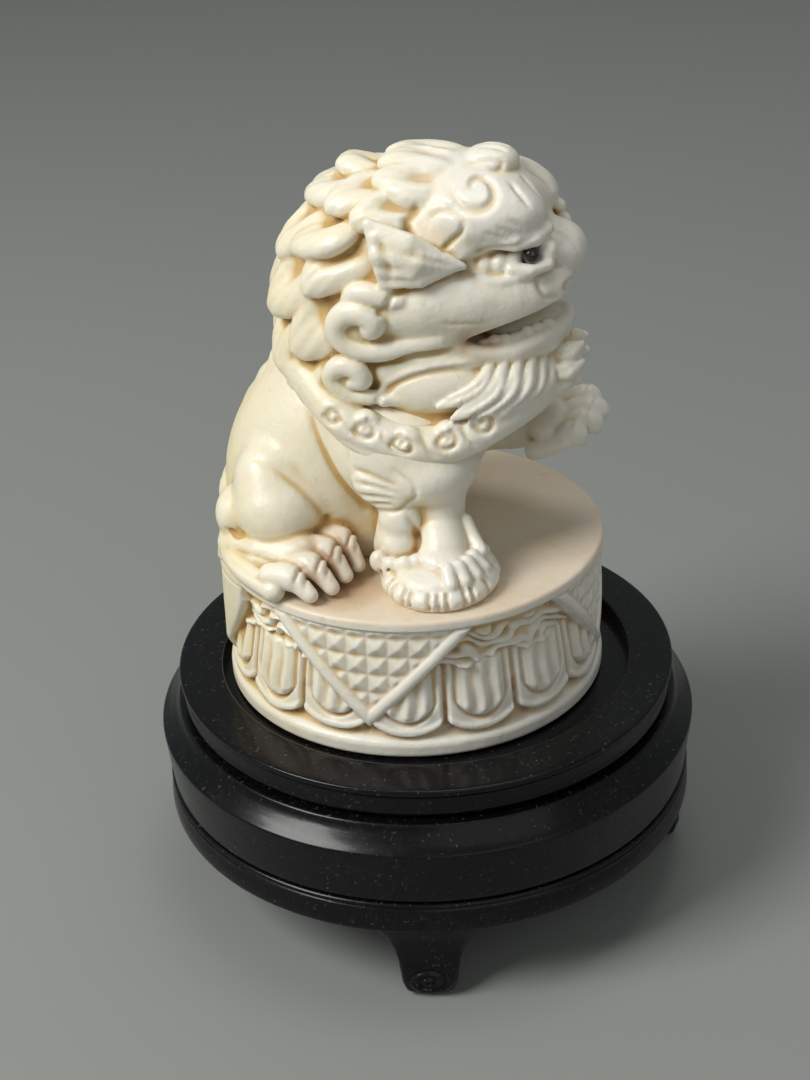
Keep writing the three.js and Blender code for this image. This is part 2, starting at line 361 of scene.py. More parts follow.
def head_masses(clay):
    """The plain masses that the head is cut from."""
    for egg, blend in (
        (Egg((-2.5, 0, 86.5), (12.2, 11.2, 13.2), (0, 10, 0)), 2),  # under the mane
        (Egg((-5, 0, 78), (10.4, 10.8, 8.6)), 3),  # nape
        (Egg((4, 0, 90.4), (14.5, 11.8, 11.8)), 3),  # skull
        (Egg((10, 0, 97), (8.8, 9.2, 6.4), (0, 12, 0)), 2),  # forehead
        (Egg((11, 4.2, 97.6), (8.2, 6.3, 4.4), (0, 3, 0)), 0.8),  # brow
        (Egg((8, 0, 79), (10, 9.5, 6)), 2),  # throat
        (Egg((3, 0, 73), (12.5, 11.6, 7.5)), 2),  # neck, behind the collar
    ):
        clay.add(egg, blend)
    clay.cut(Rod([(10.5, 10.2, 91.6), (14, 9.2, 92), (18, 6.6, 93), (20.5, 4.6, 94.6)],
                 [1.6, 2.2, 2.3, 1.6]), 1.2)  # eye hollow
    clay.add(Rod([(-0.5, 9.6, 86), (5, 9.3, 87.2), (10, 8.3, 88.2), (15, 6.2, 88.4), (19, 3.4, 88.2)],
                 [3.4, 3.9, 3.6, 3.2, 2.9]), 1.2)  # cheek
    clay.add(Egg((8.5, 6.8, 86.4), (11.5, 4.9, 4.6), (0, -5, -8)), 1.5)  # flat of the cheek
    clay.add(Egg((17.5, 0, 91.5), (5.2, 4.4, 4.6), (0, 20, 0)), 1.2)  # nose bridge
    clay.add(Egg((20.1, 0, 91.8), (3.4, 4.3, 3.4)), 0.8)  # nose
    clay.add(Egg((20, 3.3, 89.1), (2.3, 2.1, 2.2)), 0.5)  # nostril wing
    clay.add(Egg((17.5, 0, 87), (3.8, 5, 2.6)), 0.8)  # upper lip
    clay.add(Rod([(0.5, 9.5, 78.5), (5, 9.4, 80), (10, 8.2, 80.5), (15, 6.2, 80.6), (18.6, 3.2, 81.2),
                  (19.4, 0, 81.4)], [2.6, 2.5, 2.5, 2.4, 2.2, 2.2]), 1)  # lower jaw
    clay.add(Egg((14, 0, 79.6), (5.5, 5.5, 2.4)), 1)  # chin


class Lobe(Egg):
    """A lobe of mane, like the bowl of a spoon: an egg along its first axis, hollowed towards its
    root, with a few shallow strands that fan out over its tip."""

    def __init__(self, centre, radii, matrix, hollow, bend):
        super().__init__(centre, radii, matrix=matrix)
        self.low, self.high = self.low - 1.5, self.high + 1.5
        self.hollow, self.bend = hollow, bend

    def distance(self, x, y, z):
        u, v, w = local(self.matrix, self.centre, x, y, z)
        a, b, c = self.radii
        u, v = u / a, v / b
        v = v + self.bend * u * u
        width = 1 - 0.22 * u
        near = np.sqrt(u**2 + (v / width) ** 2 + (w / c) ** 2) + 1e-6
        steep = np.sqrt((u / a) ** 2 + (v / b) ** 2 + (w / c**2) ** 2) + 1e-6
        bowl = np.exp(-(((u + 0.28) / 0.55) ** 2) - ((v - 0.1) / 0.36) ** 2)
        fan = smooth_step(-0.5, 0.6, u)
        strands = np.cos(2 * np.pi * v / (0.34 + 0.1 * u)) + 0.5 * np.cos(5.1 * np.pi * v + 2)
        return near * (near - 1) / steep + self.hollow * bowl + 0.06 * fan * (1 + strands)


def facing(out, along):
    """Axes with the third pointing out and the first as near to along as it can."""
    out = out / np.linalg.norm(out)
    first = along - out * (along @ out)
    first /= np.linalg.norm(first)
    return np.column_stack([first, np.cross(out, first), out])


def mane(clay):
    """Lobes that overlap like scales, from the nape up to the brow. Each runs from its root to
    its tip on the plain head, sunk at the root and lifted at the tip."""
    lobes = (  # root, tip, width, bend
        ((-15, 0, 80), (-15.6, 0, 73), 8.5, 0.1),
        ((-13, 6.5, 79.5), (-13.8, 6.6, 72.6), 7.5, -0.2),
        ((-8.2, 10.6, 81.6), (-10.2, 9.4, 74.4), 7, 0.2),
        ((-14.8, 0, 86.8), (-16.4, 0, 79), 8, -0.2),
        ((-12.4, 7, 86.4), (-14.2, 6.6, 78), 7.5, 0.25),
        ((-4.6, 11.4, 90.2), (-9.4, 10.4, 80.8), 8.4, -0.25),
        ((-12.4, 0, 93), (-15.6, 0, 85.6), 8, 0.2),
        ((-8.6, 8.2, 93), (-13.6, 6.8, 84.8), 8, -0.2),
        ((-2, 10.8, 94.8), (-8.8, 9.8, 89.8), 6.4, 0.3),
        ((-8.6, 3.4, 97.4), (-13, 4, 91.2), 7, 0.2),
        ((-3.6, 8, 98.2), (-9.4, 8.2, 92), 7.6, -0.25),
        ((-3.6, 1.8, 101), (-9.6, 2.4, 96.8), 7.4, -0.2),
        ((3.4, 9, 99.4), (-2.8, 8.6, 97.6), 5.6, 0.2),
        ((0.8, 5.2, 101.4), (-6.2, 6.2, 98), 6.4, 0.25),
        ((-0.6, 0, 102), (-6.6, 0, 100), 6, 0.2),
        ((6.8, 6, 101.4), (-0.6, 5.6, 100.6), 6.2, -0.2),
        ((8, 1.6, 102.4), (-0.4, 1.4, 102), 6.4, 0.15),
    )
    for root, tip, width, bend in lobes:
        root, tip = np.array(root, float), np.array(tip, float)
        middle = (0.45 * root + 0.55 * tip - clay.low) / clay.step
        place = settle(clay.field, middle[None], rounds=8, most=3)
        out = slope(clay.field, place)[0].astype(float)
        length = np.linalg.norm(tip - root)
        axes = facing(out, tip - root)
        lean = math.radians(17)
        along = axes[:, 0] * math.cos(lean) + axes[:, 2] * math.sin(lean)
        axes = facing(np.cross(along, axes[:, 1]), along)
        centre = clay.low + place[0] * clay.step - axes[:, 2] * 0.1
        clay.add(Lobe(centre, (0.66 * length, 0.56 * width, 2.1), axes, 1.25, bend), 0.2)


def ear_and_curls(clay):
    """The leaf-shaped ear, and the scrolls that the cheek and the jaw end in."""
    top, low, tip = (-0.8, 12.2, 98), (1, 12.8, 90.8), (10.4, 10.8, 93)
    back = (0.6, 13, 94.6)
    for path, size in (
        ((top, (4.2, 12.7, 96.2), tip), (0.7, 1.1, 0.4)), ((low, (5.4, 12.6, 91.6), tip), (0.7, 1.1, 0.4)),
        ((top, back, low), (0.7, 1.2, 0.7)), ((back, (5.2, 12.6, 94), tip), (1.4, 1.7, 0.4)),
        (((0.4, 12.7, 96.6), (4, 12.7, 95.2), tip), (1, 1.4, 0.4)),
        (((1, 12.9, 92.6), (4.6, 12.8, 92.8), tip), (1, 1.4, 0.4)),
    ):
        clay.add(Rod(path, list(size)), 0.35)
    carve(clay, [(0.6, 13.6, 97), (1.7, 14.2, 94.6), (2.2, 13.9, 91.8)], 1.1, 0.4)
    carve(clay, [(3.6, 13.8, 95.4), (6, 13.4, 94.4), (9.2, 12, 93.3)], 0.9, 0.3)
    carve(clay, [(2.6, 12.6, 90.3), (5.8, 12.2, 91), (10, 10.6, 92)], 1.1, 0.75)
    roll = [(-4, 11.4, 87.6), (-2.6, 12.1, 89.2), (-0.2, 12.4, 89.2), (2.6, 12.2, 88.6)]
    clay.add(Rod(smooth_path(roll, 12), [1, 1.3, 1.4, 1.5, 1.5, 1.5, 1.5, 1.5, 1.5, 1.5, 1.4, 1.2]), 0.3)
    clay.add(Egg((-3, 10.6, 84.4), (3.6, 2.4, 3.6)), 0.4)
    upper = [(7, 10.8, 83.4), (2.6, 11.6, 82.2), (-1.2, 12.1, 81.7), (-4.3, 12.1, 82.6), (-5.3, 12.2, 84.7),
             (-4.2, 12.5, 86.5), (-2.1, 12.8, 87), (-0.5, 12.9, 86), (-1.1, 12.6, 84.6)]
    add_bar(clay, upper, 40, [(0, 1.2), (8, 1.4), (18, 1.6), (30, 1.7), (37, 1.6), (39, 1.2)], 0.15)
    clay.add(Egg((-4.4, 10.4, 78), (3.3, 2.5, 3.2)), 0.4)
    lower = [(3, 11.4, 75.2), (-1, 12, 75.4), (-4.6, 12.2, 75.9), (-6.4, 12.2, 77.9),
             (-5.2, 12.5, 79.6), (-3.2, 12.7, 79.5), (-2.4, 12.6, 78), (-3.6, 12.6, 77.5)]
    add_bar(clay, lower, 34, [(0, 0.9), (8, 1.1), (18, 1.4), (28, 1.35), (33, 0.9)], 0.15)
    carve(clay, [(0.7, 12.9, 88), (1.9, 12.8, 89.2), (3.4, 12.6, 90.2)], 1, 0.5)


def cheek_and_mouth(clay):
    """The join of cheek and jaw, the lips round the open mouth, the tongue and the teeth."""
    clay.add(Egg((4.2, 9.2, 83.2), (6, 2.7, 3.8), (0, -6, 0)), 1.2)  # joins the cheek and jaw
    clay.add(Rod([(9.3, 9.6, 83.7), (12, 8.8, 84.9), (15.5, 7.4, 85.4), (18.6, 5.2, 86.2),
                  (20.4, 2.2, 86.6), (20.8, 0, 86.6)], 0.95), 0.5)  # upper lip
    clay.cut(Egg((19.4, 0, 84.2), (12.4, 15.5, 2.5), (0, -12, 0)), 0.4)  # the open mouth
    lip = [(9.2, 9.5, 82), (12, 8.8, 80.9), (15.5, 7.2, 81), (18.8, 5, 82), (20.6, 2.4, 82.6),
           (21, 0, 82.6)]
    add_bar(clay, lip, 16, 1.05, 0.4)
    clay.add(Egg((15.5, 0, 82.2), (5.4, 5, 1.3), (0, -10, 0)), 0.4)  # tongue
    teeth = smooth_path([(12, 7.9, 82), (14.5, 7, 82.3), (17, 5.6, 82.8), (19.2, 3.6, 83.5)], 7)
    for k, (x, y, z) in enumerate(teeth):
        tooth = (0.95, 0.7, 0.75 + 0.2 * ((2 * k) % 3))
        clay.add(Egg((x, y, z - 0.3), tooth, (0, 12 * (k % 3) - 12, 0)), 0.2)
    carve(clay, [(-1.3, 11.8, 80.2), (1.5, 11.8, 81), (4.5, 11.8, 81.7), (8.6, 10, 82.4)], 1.2, 0.6)
    carve(clay, [(7.8, 12.2, 86), (10.3, 11.4, 85.9), (13.4, 9.9, 86.1)], 0.6, 0.25)
    raise_ridge(clay, [(0, 11.4, 76.2), (3, 11.8, 78.4), (7.5, 11.2, 79.8), (11.8, 10, 80)],
                2, 0.6)


def eye_and_brow(clay):
    """The lumps beside the eye, its lids, and the scrolls and cuts on the brow and the crown."""
    for x, y, z, r in ((12.2, 7.8, 91.8, 1.5), (14, 7.4, 92.2, 1.35), (15.6, 6.7, 92.6, 1.25)):
        clay.add(Egg((x, y, z), (r * 0.85, 1.3, r), (0, 20, 0)), 0.35)
    clay.add(Egg((16.6, 5.2, 93.3), (1.6, 1.5, 1.5)), 0.5)  # the bead's setting
    clay.add(Rod([(13.2, 8.6, 95.4), (16, 8.1, 95.2), (18.2, 6.5, 95.2), (19.4, 4.4, 95.8)],
                 [0.9, 1.15, 1.05, 0.8]), 0.7)
    clay.add(Rod([(15.6, 7.9, 91.7), (17.8, 7.5, 91.5), (19.7, 6, 91.9)], 0.85), 0.4)
    clay.add(Egg((19.5, 5.2, 93.2), (1.3, 1.2, 1.6)), 0.4)
    raise_ridge(clay, [(10.9, 9.4, 92.6), (12.2, 9.4, 90.8), (14.2, 9, 90.2), (16.8, 8, 90.9),
                       (19.2, 6, 91.9)], 1.1, 0.4)
    carve(clay, [(5.4, 11.4, 94.9), (9.4, 10.8, 93.7), (14.7, 10.2, 94.3), (18.6, 7.4, 96)], 0.8, 0.35)
    spiral = [(7.4, 6.7, 102.3), (8.7, 8.8, 101.3), (10.1, 9.9, 100.3), (12.1, 10, 100),
              (13.5, 9.2, 100.7), (13.6, 7.7, 101.8), (12.7, 6, 102.5), (11.2, 5.6, 102.9),
              (10.5, 6.9, 102.5), (11.2, 8.1, 101.9)]
    carve(clay, spiral, 1, 0.6, count=40)
    carve(clay, [(6, 8.8, 100.2), (9, 10, 100), (12, 10.4, 99.6), (14.2, 9, 100.5)], 0.7, 0.35)
    ring = [(3, 10.2, 99.9), (3.6, 10.8, 98.4), (4.6, 11, 96.7), (6, 11, 95.6), (8.2, 10.9, 95.4),
            (9.8, 10.7, 96.5), (10.3, 10.5, 98), (9.4, 10.3, 99.2), (7.6, 10.1, 99.6), (6, 10.4, 98.9),
            (5.8, 10.7, 97.9)]
    carve(clay, ring, 0.75, 0.5, count=50)
    carve(clay, [(4.6, 9.4, 99.6), (3.7, 10.2, 98.2), (3.9, 10.7, 96.6), (5, 11, 95.4)], 1.1, 0.5)
    carve(clay, [(15.1, 4.5, 102.2), (16.3, 6, 101.2), (17.9, 7, 99.5)], 0.7, 0.4)
    carve(clay, [(16.3, 1.6, 102.4), (17.9, 2.2, 100.6), (19.2, 2.8, 98.2)], 0.7, 0.4)
    clay.add(Egg((11.6, 0, 102.6), (3.5, 3.6, 2)), 0.3)  # crown curl
    carve(clay, scroll((12.2, 0.9, 104), 1.7, 0.4, 200, -1.1), 0.7, 0.35, count=24)
    carve(clay, [(9.4, 3, 103.4), (10.6, 3.6, 104), (12.6, 3.6, 103.9), (13.8, 3, 103.2),
                 (13.2, 3.2, 102.4), (12, 3.6, 102.6)], 0.7, 0.4)
    for x, z in ((14, 96.6), (15.4, 97), (16.8, 97.8)):  # short cuts along the brow
        carve(clay, [(x - 1.2, 9.6, z + 0.5), (x, 9.4, z), (x + 1, 9, z - 0.9)], 0.5, 0.25, count=10)


def nose(clay):
    """The cuts round the nostril wings and down the bridge."""
    carve(clay, [(18.2, 6.6, 90.3), (18.3, 6.6, 88.7), (19.4, 6.4, 87.8), (21, 5.4, 87.7)], 0.7, 0.4)
    carve(clay, [(18.9, 6.2, 90.6), (19.8, 5.4, 91.3), (21.6, 4.6, 91.2)], 0.6, 0.3)
    clay.cut(Egg((21.6, 3.6, 88.6), (1, 1.3, 0.8), (0, -20, 20)), 0.3)
    carve(clay, [(19.6, 2.6, 95.2), (21.8, 2.8, 94.2), (23.6, 2.6, 92.4)], 0.7, 0.25)


def beard_and_collar(clay):
    """The chin tufts, the throat, the swept-back beard, and the collar with its scrolls."""
    for low, mid, high, r in (
        ((18, 1.9, 79.6), (21.2, 2.4, 79), (23.2, 1.5, 79.9), 1.3),
        ((17.6, 2.6, 77.6), (21, 3.2, 76.8), (23.3, 2, 77.7), 1.4),
        ((16.6, 3.2, 75.8), (19.6, 3.9, 74.8), (22, 2.8, 75), 1.3),
    ):
        add_bar(clay, [low, mid, high], 9, [(0, r * 0.8), (5, r), (8, r * 0.4)], 0.25)
        carve(clay, [np.add(low, (0.5, r, 0.3)), np.add(mid, (0, r, 0.3)), np.add(high, (-0.5, r, 0.2))],
              0.5, 0.25)
    clay.add(Egg((17.8, 0, 77.6), (4.4, 2.6, 3.4)), 0.5)
    clay.add(Rod([(18.4, 0, 78.6), (21.4, 0, 76.6), (22.6, 0, 74.2)], [1.6, 1.8, 0.5]), 0.25)
    clay.add(Egg((5.4, 9.6, 76.5), (7.6, 3, 3.9), (0, -6, 0)), 0.3)  # smooth throat panel
    carve(clay, [(-0.9, 12, 74.9), (1.6, 12.6, 77.3), (5.9, 12.6, 79.2), (11.6, 11, 80)], 0.9, 0.5)
    for root, bend, end, wide in (  # the beard, in flames swept back
        ((13, 9.4, 79.2), (11.8, 11.2, 77.2), (7.2, 12.6, 75), 1.15),
        ((14.6, 8.6, 79.2), (13.6, 11, 76.4), (9, 12.6, 73.6), 1.3),
        ((16.2, 7.6, 79.2), (15.4, 10.2, 76.2), (11.2, 12.2, 73), 1.3),
        ((17.6, 6.2, 79.2), (17, 9, 76.2), (13.4, 11.4, 73), 1.25),
        ((18.6, 4.4, 79), (18.4, 7.4, 76), (15.4, 10, 73.6), 1.15),
        ((19.4, 2.8, 78.8), (19.4, 5.6, 76), (17.4, 8, 74.2), 1.05),
    ):
        path = add_bar(clay, [root, bend, end], 12, [(0, 0.8), (5, wide), (9, wide * 0.8), (11, 0.4)], 0.12)
        carve(clay, path[2:] + (0.2, wide * 0.9, wide * 0.5), 0.5, 0.3, count=12)
    collar = [(-12, 7.6, 77.4), (-9, 10, 75.4), (-6, 12, 73.2), (-2.6, 12.6, 71.4), (2, 12.6, 70),
              (6.4, 12, 69.6), (10.6, 10.6, 70.7), (14.6, 8.4, 72.8), (18, 4.8, 74.7), (19, 0, 75.2)]
    add_bar(clay, collar, 40, 2.6, 0.5)
    rim = [(-11.8, 8.4, 75.6), (-8.2, 11.4, 73), (-4.8, 13.4, 70.4), (0.4, 14, 68.2), (5.6, 13.2, 67.6),
           (10, 11.8, 68.8), (14.6, 9.3, 71.2), (18.4, 5.4, 73.2), (19.8, 0, 73.7)]
    add_bar(clay, rim, 40, 0.95, 0.3)
    for x, y, z, r, start, turns in (  # scrolls along the collar
        (-6.2, 14.1, 73.8, 1.7, 200, 1.3), (-1.9, 14.6, 72.4, 2, 60, -1.4),
        (3.4, 14.8, 70.6, 2.1, 120, 1.4),
        (8.4, 13.4, 71.2, 2, 60, -1.4), (13, 11.2, 73, 1.9, 140, 1.4),
    ):
        clay.add(Egg((x, y - 1.1, z), (r, 1.5, r)), 0.25)
        curl = scroll((x, y + 1, z), r * 0.82, r * 0.25, start, turns * 0.8)
        carve(clay, curl, 0.8, 0.5, count=len(curl), taper=False)
    for x, y, z in ((-4, 13.9, 71.9), (0.8, 14.4, 70.6), (6, 14, 69.9), (10.7, 12.2, 70.9)):
        carve(clay, [(x - 0.6, y, z + 1.4), (x + 0.1, y + 0.3, z), (x + 1.2, y, z - 1)], 0.6, 0.4, count=10)


def carved_head(step):
    """The head's block, carved: plain masses first, then the parts laid on them."""
    clay = Clay((-22, 0, 64), (28, 18, 108), step, mirrored=True)
    head_masses(clay)
    mane(clay)
    ear_and_curls(clay)
    cheek_and_mouth(clay)
    eye_and_brow(clay)
    nose(clay)
    beard_and_collar(clay)
    return clay


# ---------------------------------------------------------------------------------------------
# The lion's body, on a whole block: y runs from the lion's right (below zero) to its left
# ---------------------------------------------------------------------------------------------

RIGHT = -1
LEFT = 1


def torso(clay):
    """The rump, back, chest, belly and tail, as plain masses."""
    for egg, blend in (
        (Egg((-11.6, 0, 59.5), (13.6, 13.6, 13.5)), 2),  # rump
        (Egg((-8.5, 0, 67.5), (13.2, 12.4, 11.5), (0, -28, 0)), 4),  # back
        (Egg((0, 0, 68), (11.5, 12, 11.5)), 4),  # chest
        (Egg((-3, 0, 55), (9.5, 10.5, 9)), 3),  # belly, down to the pedestal
        (Egg((-22.2, 2, 56.5), (3.6, 6.5, 6)), 0.8),  # tail, laid against the rump
    ):
        clay.add(egg, blend)


def hind_leg(clay, side, forward):
    """The folded thigh and the long flat foot with four blocky toes."""
    def at(x, out, z):
        return (x + forward, side * out, z)

    clay.add(Egg(at(-16, 10.2, 62.4), (4.9, 5.6, 5.4), (0, 14, 0)), 1.2)  # thigh, narrow above
    clay.add(Egg(at(-14.5, 12.2, 59), (6, 6, 5.5), (0, 10, 0)), 1.5)  # thigh and knee
    clay.add(Egg(at(-20.6, 11.6, 57.6), (2.8, 4, 3.6)), 1)  # hock
    foot = [at(-20.5, 13.4, 53.8), at(-15.5, 15.8, 54.2), at(-10.5, 16.8, 54.2)]
    clay.add(Rod(foot, [2.5, 3.2, 3.3]), 0.6)
    add_bar(clay, [at(-20.6, 15, 52.6), at(-17.4, 19, 52.6), at(-12.6, 22.6, 52.4)], 12, 1.5, 0.5)
    for root, knuckle, tip in (
        ((-13.2, 21.3, 53.8), (-10.4, 22, 54.2), (-7.6, 23, 52.5)),
        ((-11.6, 18.6, 54.6), (-8.2, 19.6, 54.8), (-5.4, 20.8, 52.6)),
        ((-10.4, 15.7, 55.4), (-7, 16.6, 55.4), (-4.4, 17.8, 52.8)),
        ((-9.4, 12.8, 55.8), (-5.8, 13.6, 55.5), (-3.5, 15, 52.9)),
    ):
        size = [(0, 1.7), (5, 1.75), (6, 1.7), (8, 1.3), (11, 1.05)]
        add_bar(clay, [at(*root), at(*knuckle), at(*tip)], 12, size, 0.15)
        x, out, z = knuckle
        for far, depth in ((1, 0.4), (2.3, 0.25)):
            low = z + 0.2 - far / 2
            across = [at(x + far, out - 1.7, low), at(x + far + 0.1, out + 0.2, z + 1.6 - far / 2),
                      at(x + far, out + 2, low)]
            carve(clay, across, 0.5, depth, count=10)
    for low, high in (((-19.6, 15.6, 54.4), (-11.5, 20.2, 54.4)), ((-19.8, 17.4, 53), (-13, 22.6, 53.2))):
        middle = np.add(low, high) / 2 + (0, 1, 0.6)
        carve(clay, [at(*low), at(*middle), at(*high)], 0.6, 0.3)
    carve(clay, [at(-21, 14.8, 57), at(-19.4, 15.8, 55.9), at(-17.6, 16, 56.4)], 0.8, 0.6, count=10)
    carve(clay, [at(-17, 13.6, 66.6), at(-12.8, 14.4, 64.4), at(-9.4, 14.4, 61.2), at(-7.8, 13.4, 57.6)],
          1.6, 0.3)


def right_foreleg(clay):
    """The foreleg that stands on the ball, in two columns under a sleeve with a flame on it."""
    clay.add(Rod([(2.2, -10, 62.5), (1.8, -11.2, 58.4), (1.6, -13, 55.4)], [4, 3.2, 3.3]), 0.8)
    clay.add(Rod([(6, -9.4, 62), (6.6, -11, 58.2), (7.6, -13.6, 55.4)], [3.8, 3.1, 3.4]), 0.3)
    clay.add(Egg((8.2, -15.2, 55.3), (3.6, 3.4, 1.7), (0, 8, 0)), 0.4)  # paw spread on the ball
    clay.add(Egg((2, -13.2, 59.4), (2.9, 2.4, 2.9), (0, 20, 0)), 0.5)  # muscle below the sleeve
    clay.add(Egg((1.2, -9.4, 66.6), (9.4, 5.9, 7.6), (0, 14, 0)), 1.2)  # shoulder
    clay.add(Egg((4.6, -8.9, 65), (6.8, 6.8, 4.5), (0, -6, 0)), 0.8)  # upper arm, like a sleeve
    carve(clay, [(3, -14.6, 60.6), (4.2, -14.6, 58.4), (4.8, -15.2, 55.4), (5.2, -16, 53.8)], 1, 0.5)
    clay.add(Egg((0.2, -13.9, 64), (4.4, 1.8, 3.1), (0, 24, 0)), 0.15)  # the flame on the sleeve
    for low, high in (
        ((-3.6, -14.6, 66.6), (2.4, -15.8, 65)), ((-3.8, -14.8, 64.8), (2.6, -15.9, 64)),
        ((-3.4, -14.8, 62.8), (2.2, -15.9, 63)), ((-2, -14.8, 61.4), (1.8, -15.8, 62)),
    ):
        middle = np.add(low, high) / 2 + (0, -0.5, 0.35)
        carve(clay, [low, middle, high], 0.75, 0.4, count=14)
    edge = [(1.6, -15.4, 67.4), (4.2, -15.8, 65.6), (4.6, -15.8, 63.6), (3, -15.4, 61.8), (0.6, -15.2, 61)]
    carve(clay, edge, 0.7, 0.35, count=24)
    for x, out, z, r in (
        (-0.2, 16.4, 54.6, 1.3), (1.6, 17.2, 54.2, 1.35), (3.4, 17.4, 54.6, 1.3), (4.8, 16.8, 55, 1.1),
    ):
        clay.add(Egg((x, -out, z), (r, 1.1, r * 1.2)), 0.15)  # ragged tuft over the paw
    clay.add(Rod([(10, -11, 58.6), (11.2, -12.2, 56.8), (12.6, -13.6, 55.8)], [0.9, 1, 0.8]), 0.3)


def ball_under_paw(clay):
    """The ball of brocade, flattened to a drum: its side is cut by upright grooves into wide and
    narrow blocks, with a ledge above them and a row of small toes above that."""
    centre = np.array([7.3, -14.4])
    clay.add(Egg((7.3, -14.4, 52.4), (7.4, 8.3, 3.3)), 0.2)
    clay.add(Egg((7.3, -14.4, 52.4), (7.6, 8.5, 2.4)), 0.6)
    ledge = [(*(centre + (6.4 * math.cos(a), 7.3 * math.sin(a))), 54.3)
             for a in np.linspace(0, 2 * math.pi, 40)]
    carve(clay, ledge, 0.5, 0.35, count=80, taper=False)
    widths = (9, 20, 8, 8, 20, 9, 16, 8, 20, 9, 9, 18)
    turns = np.radians(np.cumsum(widths * 3)[:26] * 360 / 308.0 * 0.86)
    for turn in turns[turns < 2 * math.pi]:
        way = np.array([math.cos(turn), math.sin(turn)])
        low, high = centre + way * (7.7, 8.6), centre + way * (6.9, 7.8)
        carve(clay, [(*low, 51.4), (*low, 52.8), (*high, 53.9)], 0.65, 0.6, count=10, taper=False)
    for k in range(6):
        turn = math.radians(-62 + 19 * k)
        way = np.array([math.cos(turn), math.sin(turn)])
        foot, head = centre + way * (5.9, 6.8), centre + way * (4.4, 5.2)
        clay.add(Rod([(*foot, 54.3), (*head, 55.6)], [0.85, 0.95]), 0.15)


def left_foreleg(clay):
    """The raised foreleg, with its paw held out flat in front, four fingers side by side."""
    clay.add(Egg((3.5, 8.6, 65.5), (8, 6, 7.2)), 2)
    clay.add(Rod([(6, 9.6, 63.4), (12, 9.4, 63.2), (17, 7.2, 64.8)], [4.6, 3.7, 3.2]), 1.5)
    clay.add(Egg((18.6, 6.2, 65.2), (3.6, 4.8, 2.6), (0, -10, 0)), 0.8)
    for out, rise, far in ((2.2, 0, 22.6), (4.5, 0.8, 24.2), (6.8, 1.6, 24.6), (9, 2.3, 23.4)):
        finger = [(16.4, out + 0.6, 62.4 + rise), (20.2, out, 64.8 + rise),
                  (far - 1, out - 0.2, 66.0 + rise), (far, out - 0.2, 65.0 + rise)]
        tip = add_bar(clay, finger, 14, [(0, 1.3), (6, 1.65), (11, 1.5), (13, 1)], 0.12)[-1]
        nail = [tip + (-1.4, -1.4, 1.6), tip + (-1, 0, 2.4), tip + (-1.4, 1.4, 1.6)]
        carve(clay, nail, 0.45, 0.25, count=8)


def body_lines(clay):
    """The creases down the flank, the tail in locks, and the ridge of fur on the spine."""
    carve(clay, [(-10.5, -12, 74.5), (-9.2, -12.6, 70.6), (-7.1, -13, 66), (-4.8, -13, 61.9),
                 (-2.6, -12.8, 58)], 1.3, 0.4)
    carve(clay, [(-6.4, -12.6, 73.4), (-4.9, -13.8, 69.7), (-3.8, -14.2, 66.6)], 1, 0.25)
    for k in range(5):  # locks of the tail, laid up the rump
        turn = math.radians(-64 + 32 * k)
        out = 0.5 + 6.0 * math.sin(turn)
        path = [(-21.2 - 2.4 * math.cos(turn), 1.5 + out, 52.6),
                (-23.2 - 1.2 * math.cos(turn), 1.5 + out * 1.1, 56.5),
                (-23.4 + 0.8 * abs(math.sin(turn)), 1.5 + out * 0.8, 60.5), (-23.2, 1.5 + out * 0.3, 63.6)]
        add_bar(clay, path, 14, [(0, 1.9), (4, 2.2), (10, 1.5), (13, 0.6)], 0.2)
        carve(clay, np.array(path) + (-1.9, 0.4, 0), 0.6, 0.35, count=16)
    lock = [(-20.2, -9.8, 58.6), (-21.2, -11, 55.6), (-21.6, -12, 52.6), (-21.6, -12.5, 50.6)]
    add_bar(clay, lock, 14, [(0, 0.8), (6, 1.9), (13, 2)], 0.8)  # runs out over the rim
    for z, reach in ((74, 5), (71.4, 4.4), (68.6, 3.6)):  # ridge of fur down the spine
        x = -17.2 - (74.0 - z) * 0.62
        clay.add(Egg((x + 0.6, 0, z), (1.6, 1.6, reach * 0.5), (0, -30, 0)), 1.4)


def carved_body(step):
    """The body's block, carved, and cut off flat a little under the top of the pedestal."""
    clay = Clay((-30, -27, FLOOR - 0.6), (28, 26, 82), step)
    torso(clay)
    hind_leg(clay, RIGHT, 0)
    hind_leg(clay, LEFT, 8)
    right_foreleg(clay)
    ball_under_paw(clay)
    left_foreleg(clay)
    body_lines(clay)
    floor = clay.lines[2] - (FLOOR - 0.1)
    clay.field = np.maximum(clay.field, -floor[None, None, :].astype(np.float32))
    return clay


# ---------------------------------------------------------------------------------------------
# Surfaces on a grid, and the pieces they become
# ---------------------------------------------------------------------------------------------


def grid_faces(rows, columns, wrap_rows):
    """Quads over a grid of rows by columns whose columns join round on themselves."""
    down = np.arange(rows if wrap_rows else rows - 1)[:, None]
    across = np.arange(columns)[None, :]
    below, beside = (down + 1) % rows, (across + 1) % columns
    corners = (down * columns + across, down * columns + beside,
               below * columns + beside, below * columns + across)
    return np.stack(np.broadcast_arrays(*corners), axis=-1).reshape(-1, 4)


def fan_faces(ring, pole):
    """Triangles from a ring of points to the one point that closes it."""
    return np.column_stack([ring, np.roll(ring, -1), np.full(len(ring), pole)])


def volume_of(points, faces):
    """Six times the volume that the faces enclose: the sum of each corner's triple products."""
    a, b, c = points[faces[:, 0]], points[faces[:, 1]], points[faces[:, 2]]
    total = np.einsum("ij,ij->", a, np.cross(b, c))
    if faces.shape[1] == 4:
        d = points[faces[:, 3]]
        total += np.einsum("ij,ij->", a, np.cross(c, d))
    return total


